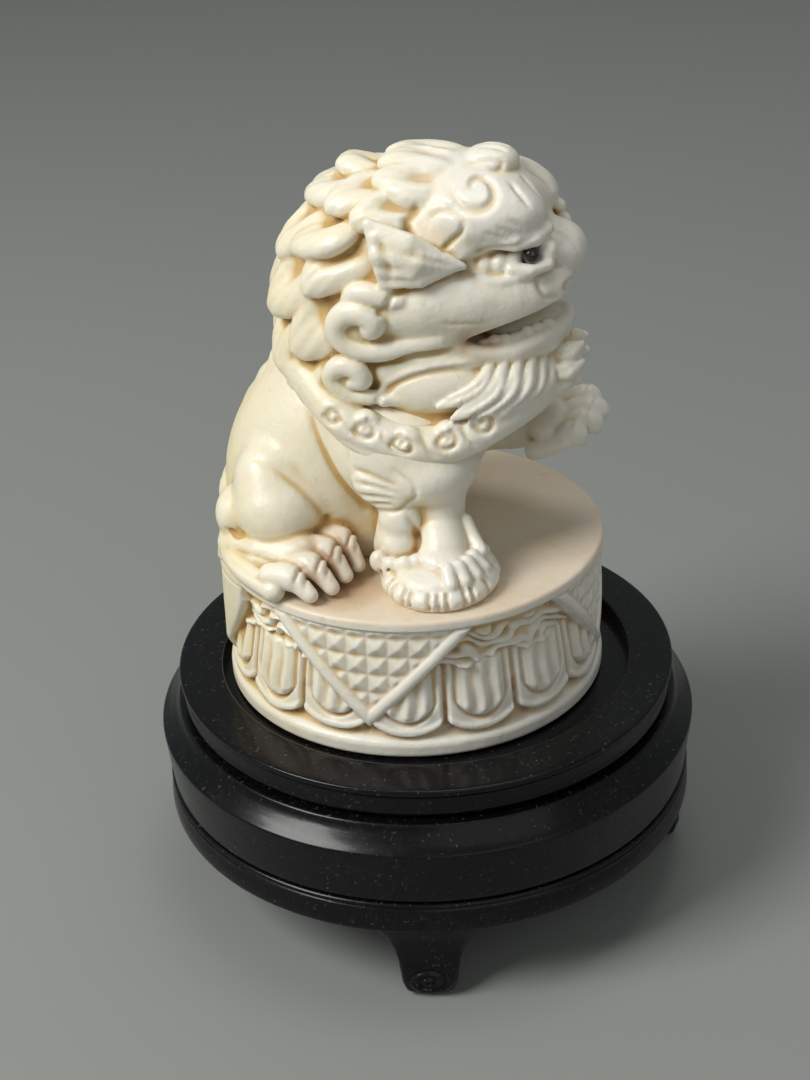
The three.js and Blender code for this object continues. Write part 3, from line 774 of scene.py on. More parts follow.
def closed_tube(rows, poles=None):
    """A grid of points, rows of a ring each, as a closed skin: the last row joins the first, or
    with poles, a point at each end closes it. Returns points, quads and triangles."""
    count, columns = rows.shape[:2]
    points = rows.reshape(-1, 3)
    quads = grid_faces(count, columns, poles is None)
    triangles = np.zeros((0, 3), int)
    if poles is not None:
        points = np.vstack([points, poles])
        first, last = np.arange(columns), (count - 1) * columns + np.arange(columns)
        triangles = np.vstack([
            fan_faces(first[::-1], len(points) - 2), fan_faces(last, len(points) - 1)
        ])
    if volume_of(points, quads) + volume_of(points, triangles) < 0:
        quads, triangles = quads[:, ::-1], triangles[:, ::-1]
    return points, quads, triangles


def make_piece(name, skin_of, material, body, nodes, attributes=None):
    points, quads, triangles = skin_of
    mesh = bpy.data.meshes.new(name)
    mesh.vertices.add(len(points))
    mesh.vertices.foreach_set("co", (points * MM).astype(np.float32).ravel())
    corners = np.concatenate([quads.ravel(), triangles.ravel()]).astype(np.int32)
    starts = np.concatenate([
        4 * np.arange(len(quads)), 4 * len(quads) + 3 * np.arange(len(triangles))
    ])
    mesh.loops.add(len(corners))
    mesh.loops.foreach_set("vertex_index", corners)
    mesh.polygons.add(len(starts))
    mesh.polygons.foreach_set("loop_start", starts.astype(np.int32))
    mesh.update(calc_edges=True)
    mesh.validate()
    mesh.shade_smooth()
    for label, values in (attributes or {}).items():
        attribute = mesh.attributes.new(label, "FLOAT", "POINT")
        attribute.data.foreach_set("value", np.asarray(values, np.float32))
    mesh.materials.append(material)
    piece = bpy.data.objects.new(name, mesh)
    bpy.context.scene.collection.objects.link(piece)
    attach(piece, body)
    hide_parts(*nodes)
    return piece


def rounded(corners, steps=6):
    """A closed outline of (r, z, radius) corners. Each is cut back by its radius, and a quadratic
    curve with the corner as its middle point runs between the two cuts."""
    out = []
    count = len(corners)
    for k in range(count):
        here = np.array(corners[k][:2], float)
        before, after = np.array(corners[k - 1][:2]), np.array(corners[(k + 1) % count][:2])
        back, ahead = before - here, after - here
        cut = min(corners[k][2], 0.49 * np.linalg.norm(back), 0.49 * np.linalg.norm(ahead))
        if cut < 1e-6:
            out.append(here)
            continue
        start = here + back / np.linalg.norm(back) * cut
        end = here + ahead / np.linalg.norm(ahead) * cut
        for t in np.linspace(0, 1, steps):
            out.append((1 - t) ** 2 * start + 2 * t * (1 - t) * here + t * t * end)
    return np.array(out)


def finely(outline, longest, closed=True):
    """The outline with its long lengths divided, so that no step is longer than longest."""
    points = np.vstack([outline, outline[:1]]) if closed else outline
    out = []
    for start, end in zip(points[:-1], points[1:]):
        parts = max(1, math.ceil(np.linalg.norm(end - start) / longest))
        out.extend(start + (end - start) * np.arange(parts)[:, None] / parts)
    if not closed:
        out.append(points[-1])
    return np.array(out)


def turned(outline, columns, poles=None):
    """An outline of (r, z) carried round the stand's axis: (r cos a, r sin a, z)."""
    angle = 2 * np.pi * np.arange(columns) / columns
    r, z = outline[:, 0][:, None], outline[:, 1][:, None]
    rows = np.stack(np.broadcast_arrays(r * np.cos(angle), r * np.sin(angle), z), axis=-1)
    return closed_tube(rows, poles)


# ---------------------------------------------------------------------------------------------
# The lotus pedestal
# ---------------------------------------------------------------------------------------------

PEDESTAL_FOOT = PEDESTAL_LOW[2]
PEDESTAL_COLUMNS = 800
UNDERSIDE = PEDESTAL_FOOT + 0.02
SLAB_LOW, SLAB_RADIUS = 49.75, 26.0
DISH = 51.05  # the middle of the slab's top, which is dished a little
PETALS = 16
CLOTH_CORNERS = (-90.0, 0.0, 90.0, 180.0)
TAIL_ANGLE = 214.0


def bump(value, low, high, edge):
    """1 between low and high, falling smoothly to 0 over the edge on either side."""
    return smooth_step(low - edge, low, value) * (1 - smooth_step(high, high + edge, value))


def pedestal_side(z):
    """The radius of the plain drum at each height: a rim, a hollow that the petals fill, a neck
    under the folds, and a cavetto up to the slab."""
    heights = [30.9, 31.2, 32.6, 33.1, 33.5, 34.2, 40.0, 43.5, 46.5, 48.0, 49.0, 49.6]
    radii = [25.7, 26.0, 26.0, 25.8, 25.1, 24.5, 24.0, 23.5, 23.3, 23.7, 24.4, 25.2]
    return np.interp(z, heights, radii)


def petal_relief(angle, z):
    """A ring of petals. Across one, u runs from -1 to 1. The outer petal ends below in an arch
    of u squared, and the fan on it, cut off by a groove, carries three rounded flutes."""
    width = 360.0 / PETALS
    place = (angle / width) % 1.0
    number = np.floor(angle / width)
    u = 2 * place - 1
    wobble = 0.25 * np.sin(number * 2.4)
    outer_end = 33.9 + wobble * 0.6 + 1.9 * np.abs(u) ** 2.6
    outer = smooth_step(-0.25, 0.3, z - outer_end) * (1 - smooth_step(0.86, 0.99, np.abs(u)))
    fan_end = 35.7 + wobble + 2.4 * np.abs(u / 0.7) ** 2.4
    fan_gap = np.minimum(z - fan_end, (0.72 - np.abs(u)) * 4.6)
    fan = smooth_step(0.0, 0.5, fan_gap)
    groove = smooth_step(-0.55, -0.1, fan_gap) * (1 - fan)
    lean = 1 - 0.35 * smooth_step(36, 44, z)
    fingers = 0.5 + 0.5 * np.cos(2 * np.pi * (u / 0.48 + 0.06 * np.sin(z * 1.1 + number)))
    height = 0.95 * outer - 0.5 * groove * outer
    height += fan * (0.15 + 0.55 * fingers * smooth_step(0.1, 1.4, fan_gap)) * outer
    height += 0.3 * outer * bump(z - outer_end, 0.2, 0.8, 0.5)
    return height * lean * (1 - smooth_step(43.4, 44.4, z))


def fold_relief(angle, z):
    """Ruffled folds: ridges along lines that rise and fall with the angle, piled on a swelling
    whose lower edge is scalloped."""
    a = np.radians(angle)
    line = 0.75 * np.sin(9 * a + 0.4) + 0.4 * np.sin(23 * a + 1.0) + 0.2 * np.sin(41 * a)
    low = 43.6 + 0.5 * np.sin(14 * a + 0.7) + 0.25 * np.sin(37 * a)
    body = smooth_step(0, 0.5, z - low) * (1 - smooth_step(46.9, 48.2, z + 0.35 * line))
    phase = 2 * np.pi * (z - line - 0.5 * np.sin(17 * a + 1.5 * z)) / 1.45
    return body * (0.75 + 0.42 * np.cos(phase) + 0.16 * np.sin(30 * a + 2.1 * z))


def cloth_relief(angle, z, over):
    """One corner of the cloth that hangs over the drum: a triangle with a rolled border, its
    field covered with four-pointed stars. Returns how much it covers, and its height."""
    across = (angle - over + 180) % 360 - 180
    x = np.radians(across) * 25.8
    top_half, tip, lip = 14.6, 34.7, 49.9
    reach = top_half * np.clip((z - tip) / (lip - tip), 0, None)
    tilt = math.cos(math.atan2(top_half, lip - tip))
    gap = (reach - np.abs(x)) * tilt  # how far inside the slanting edge
    cover = smooth_step(-0.12, 0.35, gap)
    border = bump(gap, 0.45, 1.75, 0.4)
    roll = np.clip(1 - ((gap - 1.1) / 1.15) ** 2, 0, 1)
    cell = 3.9
    u = 2 * np.abs(((x + z - tip) / cell / math.sqrt(2)) % 1 - 0.5)
    v = 2 * np.abs(((x - z + tip) / cell / math.sqrt(2)) % 1 - 0.5)
    s = 2 * np.abs((x / cell / math.sqrt(2)) % 1 - 0.5)
    star = np.abs(u - v) * 0.75 + 0.35 * np.abs(s - 0.5)
    field = smooth_step(2.1, 2.5, gap)
    height = 0.25 + 0.62 * roll * border + field * (1.0 * star - 0.3)
    return cover, height


def tail_tip(angle, z):
    """The tip of the tail, which hangs over the rim as a smooth lock that narrows to a point.
    Returns how much it covers, and how far it swells: half a circle across."""
    across = np.radians((angle - TAIL_ANGLE + 180) % 360 - 180) * 26.0 + 0.22 * (50 - z)
    half = 0.1 + 4.6 * smooth_step(34.5, 47.5, z)
    round_over = np.sqrt(np.clip(1 - (across / half) ** 2, 0, 1))
    return smooth_step(-0.1, 0.4, half - np.abs(across)), round_over * smooth_step(35.0, 39.0, z)


def pedestal_radius(angle, z):
    """The radius at every angle and height: the drum, the petals and folds on it, and the four
    cloth corners laid over them."""
    plain = pedestal_side(z)
    radius = plain + petal_relief(angle, z) + fold_relief(angle, z)
    for over in CLOTH_CORNERS:
        cover, height = cloth_relief(angle, z, over)
        hanging = 24.95 + 0.2 * smooth_step(36, 49, z) + height
        radius = np.where(cover > 0, radius + cover * (np.maximum(hanging, radius) - radius), radius)
        radius = np.where(cover > 0.98, hanging, radius)
    cover, swell = tail_tip(angle, z)
    return radius + cover * (np.maximum(25.3 + 1.3 * swell, radius) - radius)


def box_blur(values, across, along):
    """A blur of a grid whose columns join round: the mean over windows, run twice."""
    for _ in range(2):
        wide = np.pad(values, ((0, 0), (across, across)), mode="wrap")
        sums = np.pad(np.cumsum(wide, axis=1), ((0, 0), (1, 0)))
        values = (sums[:, 2 * across + 1:] - sums[:, :-2 * across - 1]) / (2 * across + 1)
        tall = np.pad(values, ((along, along), (0, 0)), mode="edge")
        sums = np.pad(np.cumsum(tall, axis=0), ((1, 0), (0, 0)))
        values = (sums[2 * along + 1:] - sums[:-2 * along - 1]) / (2 * along + 1)
    return values


def carved_pedestal(columns, step):
    """The pedestal as one closed grid of angle by profile: underside, carved side, the slab's
    rounded lip, and the gently dished top."""
    angle = 360.0 * np.arange(columns) / columns
    z = np.arange(PEDESTAL_FOOT, SLAB_LOW - 0.2, step)
    side = pedestal_radius(angle[None, :], z[:, None])
    hollow = np.clip((box_blur(side, 3, 3) - side) / 0.35, -1, 1)
    wide = np.clip((box_blur(side, 9, 9) - side) / 0.9, -1, 1)
    lip = rounded([(25.3, SLAB_LOW, 0.0), (SLAB_RADIUS, SLAB_LOW, 0.45), (SLAB_RADIUS, 51.2, 0.75),
                   (23.5, 51.12, 0.0)], 8)
    top = np.array([(r, DISH + 0.1 * (r / 23) ** 2) for r in (22.5, 20, 17, 14, 11, 8, 5, 2.5)])
    under = np.array([(r, UNDERSIDE) for r in (6.0, 16.0, 25.0)])
    wave = 0.12 * np.sin(np.radians(angle) * 5 + 1) + 0.06 * np.sin(np.radians(angle) * 13)
    tail = tail_tip(angle[None, :], lip[:, 1:])[1] * 0.7 * smooth_step(23.5, 26.0, lip[:, :1])
    level = np.zeros(columns)
    lip_rows = lip[:, :1] + wave * 0.35 - 0.06 + tail
    radii = np.vstack([under[:, :1] + level, side, lip_rows, top[:, :1] + level])
    heights = np.concatenate([under[:, 1], z, lip[:, 1], top[:, 1]])
    turn = np.radians(angle)[None, :]
    grid = np.stack([
        FIGURE_X + radii * np.cos(turn), FIGURE_Y + radii * np.sin(turn),
        np.broadcast_to(heights[:, None], radii.shape),
    ], axis=-1)
    poles = np.array([(FIGURE_X, FIGURE_Y, UNDERSIDE), (FIGURE_X, FIGURE_Y, DISH)])
    spread = {}
    for label, values in (("hollow", hollow), ("hollow_wide", wide)):
        plain = np.zeros((len(under), columns)), np.zeros((len(lip) + len(top), columns))
        spread[label] = np.append(np.vstack([plain[0], values, plain[1]]).ravel(), [0, 0])
    return closed_tube(grid, poles), spread


# ---------------------------------------------------------------------------------------------
# The lacquered stand
# ---------------------------------------------------------------------------------------------

RING_COLUMNS, PANEL_COLUMNS = 360, 120
FOOT_COLUMNS, FOOT_ROWS = 168, 96
VOLUTE_WIDE, VOLUTE_HIGH, VOLUTE_Z = 3.1, 2.3, 2.9  # half its width and height, and its middle
RECESS_RADIUS, PANEL_BORE, SHOULDER_BORE, BASE_BORE = 28.4, 30.0, 26.0, 29.0


def top_ring():
    """The outline (r, z) of the ring round the recess, with a step out over the shoulder."""
    low, high = node_box("stand_top_ring")
    edge, seat = high[0], node_box("stand_seat_panel")[1][2]
    return finely(rounded([
        (RECESS_RADIUS, high[2], 0.35), (RECESS_RADIUS, seat - 0.4, 0.1),
        (PANEL_BORE, seat - 0.4, 0.2), (PANEL_BORE, low[2], 0.2),
        (edge - 0.95, low[2], 0.3), (edge - 0.35, low[2] + 0.8, 0.5), (edge - 0.55, low[2] + 1.5, 0.3),
        (edge - 0.55, high[2] - 1.25, 0.25), (edge, high[2] - 0.9, 0.35), (edge, high[2], 0.4),
    ]), 0.8)


def seat_panel():
    """The outline (r, z) of the panel that the pedestal sits on."""
    low, high = node_box("stand_seat_panel")
    return finely(rounded([
        (0.5, high[2], 0), (high[0], high[2], 0.2), (high[0], low[2], 0.2), (0.5, low[2], 0),
    ])[1:-1], 2.0, closed=False)


def shoulder_ring():
    """The outline (r, z) of the sloping shoulder and the band under it."""
    low, high = node_box("stand_shoulder_ring")
    edge = high[0]
    slope_line = [(edge - 2.7, high[2], 0.3), (edge - 2.2, 26.7, 0.8), (edge - 0.9, 25.3, 1.0)]
    return finely(rounded([
        (SHOULDER_BORE, high[2], 0.2), *slope_line, (edge, 24.55, 0.22), (edge - 0.75, low[2], 0.25),
        (SHOULDER_BORE, low[2], 0.2),
    ]), 0.8)


def base_ring():
    """The outline (r, z) of the lowest ring, with two small beads over a plain band."""
    low, high = node_box("stand_base_ring")
    rim = 37.1
    return finely(rounded([
        (BASE_BORE, high[2], 0.2), (rim - 0.3, high[2], 0.3), (rim, high[2] - 0.35, 0.35),
        (rim - 0.35, high[2] - 0.75, 0.12),
        (rim, high[2] - 1.1, 0.35), (rim - 0.35, high[2] - 1.5, 0.15), (rim + 0.1, low[2] + 1.6, 0.8),
        (rim + 0.1, low[2], 0.5), (BASE_BORE, low[2], 0.2),
    ]), 0.6)


def foot_skin(node):
    """A foot of the stand: round each level, a square with rounded corners; up the foot, its
    width swells from the sole to the toe and flares in a hollow curve to the ring. A volute of
    oval turns is cut on the toe: the cosine of the turns less the angle."""
    low, high = node_box(node)
    centre = (low + high)[:2] / 2
    heading = math.atan2(centre[1], centre[0])
    columns, rows = FOOT_COLUMNS, FOOT_ROWS
    around = np.linspace(0, 2 * np.pi, 4001)
    c, s = np.cos(around), np.sin(around)
    square = np.column_stack([np.sign(c) * np.abs(c) ** 0.3, np.sign(s) * np.abs(s) ** 0.3])
    walked = np.concatenate([[0], np.cumsum(np.linalg.norm(np.diff(square, axis=0), axis=1))])
    even = np.linspace(0, walked[-1], columns, endpoint=False)
    across = np.interp(even, walked, square[:, 1])
    outward = np.interp(even, walked, square[:, 0])
    z = low[2] + (high[2] - low[2]) * np.linspace(0, 1, rows)
    top_z = high[2] - low[2]
    up = (z - low[2]) / top_z
    half = np.interp(up, [0, 0.03, 0.09, 0.2, 0.34, 0.5, 0.65, 0.8, 0.92, 1.0],
                     [2.3, 2.8, 3.3, 3.7, 3.85, 4.15, 4.75, 5.6, 6.6, 7.3])
    front = np.interp(up, [0, 0.03, 0.09, 0.25, 0.42, 0.5, 0.62, 0.8, 1.0],
                      [34.4, 35.2, 35.8, 36.2, 36.15, 35.7, 35.35, 35.5, 36.1])
    kernel = np.hanning(11) / np.hanning(11).sum()
    half, front = (np.convolve(np.pad(line, 5, mode="edge"), kernel, "valid") for line in (half, front))
    back = 29.6 + 0.6 * (1 - smooth_step(0, 0.12, up))
    side = across[None, :] * half[:, None]
    middle, deep = (front + back) / 2, (front - back) / 2
    out = middle[:, None] + outward[None, :] * deep[:, None]
    beside, above = side / VOLUTE_WIDE, (z[:, None] - VOLUTE_Z) / VOLUTE_HIGH
    oval = np.sqrt(beside**2 + above**2)
    spin = np.arctan2(above, beside) / (2 * np.pi)
    volute = np.cos(2 * np.pi * (oval * 2.1 - spin)) * (1 - smooth_step(0.8, 1.05, oval))
    facing_out = smooth_step(0.75, 1.0, outward)[None, :]
    out = out + 0.22 * volute * facing_out
    x = out * math.cos(heading) - side * math.sin(heading)
    y = out * math.sin(heading) + side * math.cos(heading)
    grid = np.stack([x, y, np.broadcast_to(z[:, None], x.shape)], axis=-1)
    return closed_tube(grid, np.array([grid[0].mean(0), grid[-1].mean(0)]))


def bead_skin(node):
    """A polished eye: rings about the direction it looks in, x = R cos t, and R sin t across,
    with the front flattened a little."""
    low, high = node_box(node)
    centre, radius = (low + high) / 2, (high - low).min() / 2
    rows, columns = 20, 40
    t = np.pi * (np.arange(rows) + 0.5)[:, None] / rows
    a = 2 * np.pi * np.arange(columns)[None, :] / columns
    ahead = radius * 0.92 * np.cos(t) + 0 * a
    grid = np.stack([ahead, radius * np.sin(t) * np.cos(a), radius * np.sin(t) * np.sin(a)], axis=-1)
    poles = np.array([(radius * 0.92, 0, 0), (-radius * 0.92, 0, 0)])
    return closed_tube(grid + centre, poles + centre)


# ---------------------------------------------------------------------------------------------
# Finishes
# ---------------------------------------------------------------------------------------------


class Wire:
    """A value on its way from one shader node to the next, for use in plain arithmetic."""

    def __init__(self, paint, socket):
        self.paint, self.socket = paint, socket

    def maths(self, operation, *values, clamp=False):
        settings = {"operation": operation, "use_clamp": clamp}
        return self.paint.node("ShaderNodeMath", settings, dict(enumerate(values)))

    def __add__(self, other):
        return self.maths("ADD", self, other)

    def __sub__(self, other):
        return self.maths("SUBTRACT", self, other)

    def __rsub__(self, other):
        return self.maths("SUBTRACT", other, self)

    def __mul__(self, other):
        return self.maths("MULTIPLY", self, other)

    __radd__ = __add__
    __rmul__ = __mul__

    def held(self):
        """Kept between 0 and 1."""
        return self.maths("ADD", self, 0.0, clamp=True)

    def step(self, low, high):
        """0 below low, 1 above high, with a smooth S between."""
        settings = {"interpolation_type": "SMOOTHSTEP"}
        inputs = {"Value": self, "From Min": low, "From Max": high}
        return self.paint.node("ShaderNodeMapRange", settings, inputs)


class Paint:
    """A material being mixed, node by node."""

    def __init__(self, name):
        self.material = bpy.data.materials.new(name)
        self.material.use_nodes = True
        self.tree = self.material.node_tree
        self.tree.nodes.clear()
        self.place = self.node("ShaderNodeTexCoord", output="Object")

    def node(self, kind, settings=None, inputs=None, output=0):
        """Adds a node: its settings first, then its inputs, by name or by
        number, each a value or a wire. Returns the wire from one of its outputs."""
        made = self.tree.nodes.new(kind)
        for key, value in (settings or {}).items():
            setattr(made, key, value)
        for key, value in (inputs or {}).items():
            if isinstance(value, Wire):
                self.tree.links.new(value.socket, made.inputs[key])
            else:
                made.inputs[key].default_value = value
        return Wire(self, made.outputs[output])

    def noise(self, scale, detail, roughness, place=None):
        """Soft noise between 0 and 1."""
        inputs = {"Vector": place or self.place, "Scale": scale, "Detail": detail, "Roughness": roughness}
        return self.node("ShaderNodeTexNoise", {}, inputs)

    def spread(self, name):
        """A value that is stored on the piece's points."""
        return self.node("ShaderNodeAttribute", {"attribute_name": name}, output="Fac")

    def coordinates(self):
        """The three wires x, y and z of a place on the piece, in metres."""
        made = self.node("ShaderNodeSeparateXYZ", {}, {0: self.place})
        return [Wire(self, output) for output in made.socket.node.outputs]

    def stretched(self, scale):
        """Places multiplied by a scale of its own on each axis."""
        return self.node("ShaderNodeVectorMath", {"operation": "MULTIPLY"}, {0: self.place, 1: scale})

    def mix(self, share, first, second):
        """Blends two colours."""
        settings = {"data_type": "RGBA"}
        return self.node("ShaderNodeMix", settings, {0: share, 6: first, 7: second}, output=2)

    def bump(self, height, strength, distance, under=None):
        """Tilts the surface by a height, over another tilt if there is one."""
        inputs = {"Height": height, "Strength": strength, "Distance": distance}
        if under:
            inputs["Normal"] = under
        return self.node("ShaderNodeBump", {}, inputs, output="Normal")

    def finish(self, **inputs):
        """Ends the material in a Principled shader. Underscores stand for spaces."""
        named = {key.replace("_", " "): value for key, value in inputs.items()}
        shader = self.node("ShaderNodeBsdfPrincipled", {}, named)
        end = self.tree.nodes.new("ShaderNodeOutputMaterial")
        self.tree.links.new(shader.socket, end.inputs["Surface"])
        return self.material


def colour(value):
    """A property's colour with the opacity that a socket wants."""
    return (*value[:3], 1.0)


DIRT_AND_SHADE_SPOTS = (  # place, reach and strength: dirt between the hind toes, and painted shade in the corners of the mouth
    ((-0.0068, -0.0172, 0.054), 0.0075, 1.2),
    ((0.0100, -0.0078, 0.0834), 0.0040, 1.1),
    ((0.0100, 0.0092, 0.0834), 0.0040, 1.1),
)


def carved_cream(settings):
    """The carving: warm cream, whiter to the front, yellow in its hollows, with a soft polish."""
    paint = Paint("carved_cream")
    x, y, z = paint.coordinates()
    hollow, wide = paint.spread("hollow"), paint.spread("hollow_wide")
    cloud = paint.noise(70.0, 4.0, 0.6)
    flecks = paint.noise(520.0, 3.0, 0.65)
    grain = paint.noise(1.0, 3.0, 0.6, paint.stretched((1400.0, 1400.0, 260.0)))
    age = (0.42 - x * 22.0 + (cloud - 0.5) * 1.7 + (y + 0.005) * 9.0).held()
    base = paint.mix(age, colour(settings.cream), colour(settings.aged))
    stain = (hollow.step(0.06, 0.62) * 0.75 + wide.step(0.05, 0.6) * 0.45) * (0.55 + cloud * 0.9)
    stain = (stain * settings.patina * (0.55 + age * 0.75)).held()
    base = paint.mix(stain, base, colour(settings.ochre))
    # painted shade: a warm brown tint over the pedestal's top, about 50.3 to 53.5 mm up (the lion's toes
    # and ball too), for the lion's shadow and warm bounce light there
    slab = z.step(0.0503, 0.0511) * (1.0 - z.step(0.0514, 0.0535))
    base = paint.mix((slab * (0.3 + cloud * 0.7)).held(), base, colour(settings.slab))
    # a brown mix near each spot, stronger in hollows: real dirt between the hind toes, painted shade in the
    # mouth's corners
    for spot, reach, strength in DIRT_AND_SHADE_SPOTS:
        apart = sum((axis - at) * (axis - at) for axis, at in zip((x, y, z), spot))
        near = (1.0 - apart * reach**-2).held() * strength
        grime_and_shade = (near * (hollow.step(-0.8, 0.2) * 0.6 + cloud * 0.8 - 0.05)).held()
        base = paint.mix(grime_and_shade * 0.8, base, colour(settings.dirt_and_shade))
    deep = (hollow.step(0.38, 0.95) * wide.step(0.3, 0.9) * flecks.step(0.3, 0.7)).held()
    base = paint.mix(deep * 0.75, base, colour(settings.brown))
    base = paint.mix(flecks.step(0.6, 0.78) * 0.35, base, colour(settings.ochre))
    worn = (0.0 - hollow).step(0.05, 0.5)
    base = paint.mix(worn * 0.35, base, colour(settings.polished))
    rough = 0.42 + (cloud - 0.5) * 0.16 + stain * 0.22 - worn * 0.08
    normal = paint.bump(paint.noise(330.0, 3.0, 0.55), 0.35, 0.0006)
    normal = paint.bump(grain, 0.25, 0.00015, normal)
    normal = paint.bump(flecks, 0.2, 0.0002, normal)
    return paint.finish(
        Base_Color=base, Roughness=rough, Normal=normal, IOR=1.5, Subsurface_Weight=0.14,
        Subsurface_Radius=(0.0011, 0.0006, 0.0003), Subsurface_Scale=1.0, Coat_Weight=0.08,
        Coat_Roughness=0.25,
    )


def black_lacquer(settings):
    """Old black lacquer: brushed on by hand, so faintly uneven, with dust and fine rubs."""
    paint = Paint("black_lacquer")
    brush = paint.noise(1.0, 4.0, 0.6, paint.stretched((260.0, 260.0, 1500.0)))
    cloud = paint.noise(60.0, 3.0, 0.5)
    specks = paint.noise(1900.0, 2.0, 0.5)
    rubs = paint.noise(900.0, 4.0, 0.7)
    dust = (specks.step(0.63, 0.78) * (0.35 + cloud)).held() * settings.dust
    film = (cloud.step(0.4, 0.75) * rubs.step(0.45, 0.75)).held() * settings.dust * 0.12
    base = paint.mix((dust + film).held(), colour(settings.lacquer), colour(settings.dust_colour))
    rough = 0.16 + cloud * 0.1 + rubs * 0.08 + dust * 0.4
    normal = paint.bump(brush, 0.16, 0.00015)
    normal = paint.bump(rubs, 0.05, 0.0001, normal)
    return paint.finish(
        Base_Color=base, Roughness=rough, Normal=normal, IOR=1.5, Coat_Weight=0.12, Coat_Roughness=0.1,
        Specular_IOR_Level=0.22
    )


def bead_black():
    """Polished black, with a little unevenness in the polish."""
    paint = Paint("eye_black")
    cloud = paint.noise(900.0, 2.0, 0.5)
    base = paint.mix(cloud, (0.006, 0.005, 0.005, 1), (0.02, 0.017, 0.015, 1))
    return paint.finish(Base_Color=base, Roughness=0.06 + cloud * 0.08, IOR=1.55, Coat_Weight=0.4,
                        Coat_Roughness=0.05)


def plain_wood():
    """Bare turned wood for the pegs and dowels, its grain running up."""
    paint = Paint("peg_wood_grain")
    warp = paint.noise(1.0, 4.0, 0.6, paint.stretched((500.0, 500.0, 60.0)))
    lines = paint.noise(1.0, 5.0, 0.7, paint.stretched((2600.0, 2600.0, 180.0)))
    base = paint.mix((warp * 0.6 + lines * 0.5).held(), (0.42, 0.25, 0.12, 1), (0.2, 0.1, 0.045, 1))
    normal = paint.bump(lines, 0.3, 0.0002)
    return paint.finish(Base_Color=base, Roughness=0.5 + lines * 0.25, Normal=normal)


# ---------------------------------------------------------------------------------------------
# The add-on
# ---------------------------------------------------------------------------------------------


def colour_property(name, description, default):
    """A colour setting with its name, description and default."""
    return bpy.props.FloatVectorProperty(
        name=name, description=description, default=default, subtype="COLOR", size=3, min=0, max=1
    )


class CarvingSettings(bpy.types.PropertyGroup):
    head_grain: bpy.props.FloatProperty(
        name="Head Grain", description="Step of the block that the head is carved from",
        default=0.00032, unit="LENGTH", precision=5, min=0.0002, max=0.001)
    body_grain: bpy.props.FloatProperty(
        name="Body Grain", description="Step of the block that the body is carved from",
        default=0.00032, unit="LENGTH", precision=5, min=0.0002, max=0.001)
    pedestal_grain: bpy.props.FloatProperty(
        name="Pedestal Grain", description="Height of one row of the pedestal's carved side",
        default=0.00021, unit="LENGTH", precision=5, min=0.0001, max=0.001)
    patina: bpy.props.FloatProperty(
        name="Patina", description="How far the hollows have yellowed", default=1.0, subtype="FACTOR",
        min=0, max=1)
    cream: colour_property("Cream", "The carving to the front", (0.84, 0.81, 0.72))
    aged: colour_property("Aged", "The carving to the back", (0.84, 0.75, 0.50))
    ochre: colour_property("Ochre", "The stain in the hollows", (0.60, 0.40, 0.15))
    brown: colour_property("Brown", "The stain in the deepest cuts", (0.27, 0.12, 0.045))
    # painted shade: the warm brown that stands for the lion's shadow on the pedestal's top
    slab: colour_property("Slab", "The top of the pedestal, which is darker", (0.70, 0.55, 0.38))
    # dirt between the toes; in the mouth's corners the same brown is painted shade
    dirt_and_shade: colour_property("Dirt", "The dirt between the toes and in the mouth", (0.40, 0.21, 0.09))
    polished: colour_property("Polished", "The worn crests", (0.9, 0.88, 0.8))


class StandSettings(bpy.types.PropertyGroup):
    lacquer: colour_property("Lacquer", "The stand's black lacquer", (0.0025, 0.0027, 0.0035))
    dust_colour: colour_property("Dust", "The dust on the lacquer", (0.32, 0.32, 0.3))
    dust: bpy.props.FloatProperty(
        name="Dustiness", description="How much dust lies on the lacquer", default=0.2,
        subtype="FACTOR", min=0, max=1)


class StageSettings(bpy.types.PropertyGroup):
    floor: colour_property("Floor", "The floor that the stand rests on", (0.27, 0.285, 0.27))
    lens: bpy.props.FloatProperty(
        name="Focal Length", description="The camera's focal length in millimetres", default=61.47,
        min=20, max=200)
    key_power: bpy.props.FloatProperty(
        name="Key Light", description="Power of the large soft light", default=3.9, unit="POWER", min=0)


def material_once(maker, *args):
    """The material that a maker makes, made only the first time."""
    name = maker.__name__
    if name not in MATERIALS:
        MATERIALS[name] = maker(*args)
    return MATERIALS[name]


MATERIALS = {}


def lion_piece(context, name, clay):
    """A piece of the lion from its carved block, moved onto the pedestal's axis."""
    points, quads, (hollow, wide) = finished(clay)
    points = points + (FIGURE_X, FIGURE_Y, 0)
    if volume_of(points, quads) < 0:
        quads = quads[:, ::-1]
    material = material_once(carved_cream, context.scene.lion_carving)
    spread = {"hollow": hollow, "hollow_wide": wide}
    skin_of = points, quads, np.zeros((0, 3), int)
    return make_piece(name, skin_of, material, "figurine", ["lion"], spread)


class LION_OT_carve_head(bpy.types.Operator):
    """Carve the lion's head, mane, beard and collar"""

    bl_idname = "lion.carve_head"
    bl_label = "Carve Head"

    def execute(self, context):
        clay = carved_head(context.scene.lion_carving.head_grain / MM)
        lion_piece(context, "lion_head_and_mane", clay)
        return {"FINISHED"}


class LION_OT_carve_body(bpy.types.Operator):
    """Carve the lion's body, legs, tail and the ball under its paw"""

    bl_idname = "lion.carve_body"
    bl_label = "Carve Body"

    def execute(self, context):
        clay = carved_body(context.scene.lion_carving.body_grain / MM)
        lion_piece(context, "lion_body_and_legs", clay)
        return {"FINISHED"}


class LION_OT_set_eyes(bpy.types.Operator):
    """Set the two black beads in the lion's eyes"""

    bl_idname = "lion.set_eyes"
    bl_label = "Set Eyes"

    def execute(self, context):
        for side in ("right", "left"):
            node = f"{side}_eye"
            make_piece(f"{side}_eye_bead", bead_skin(node), material_once(bead_black), "figurine",
                       [node])
        return {"FINISHED"}


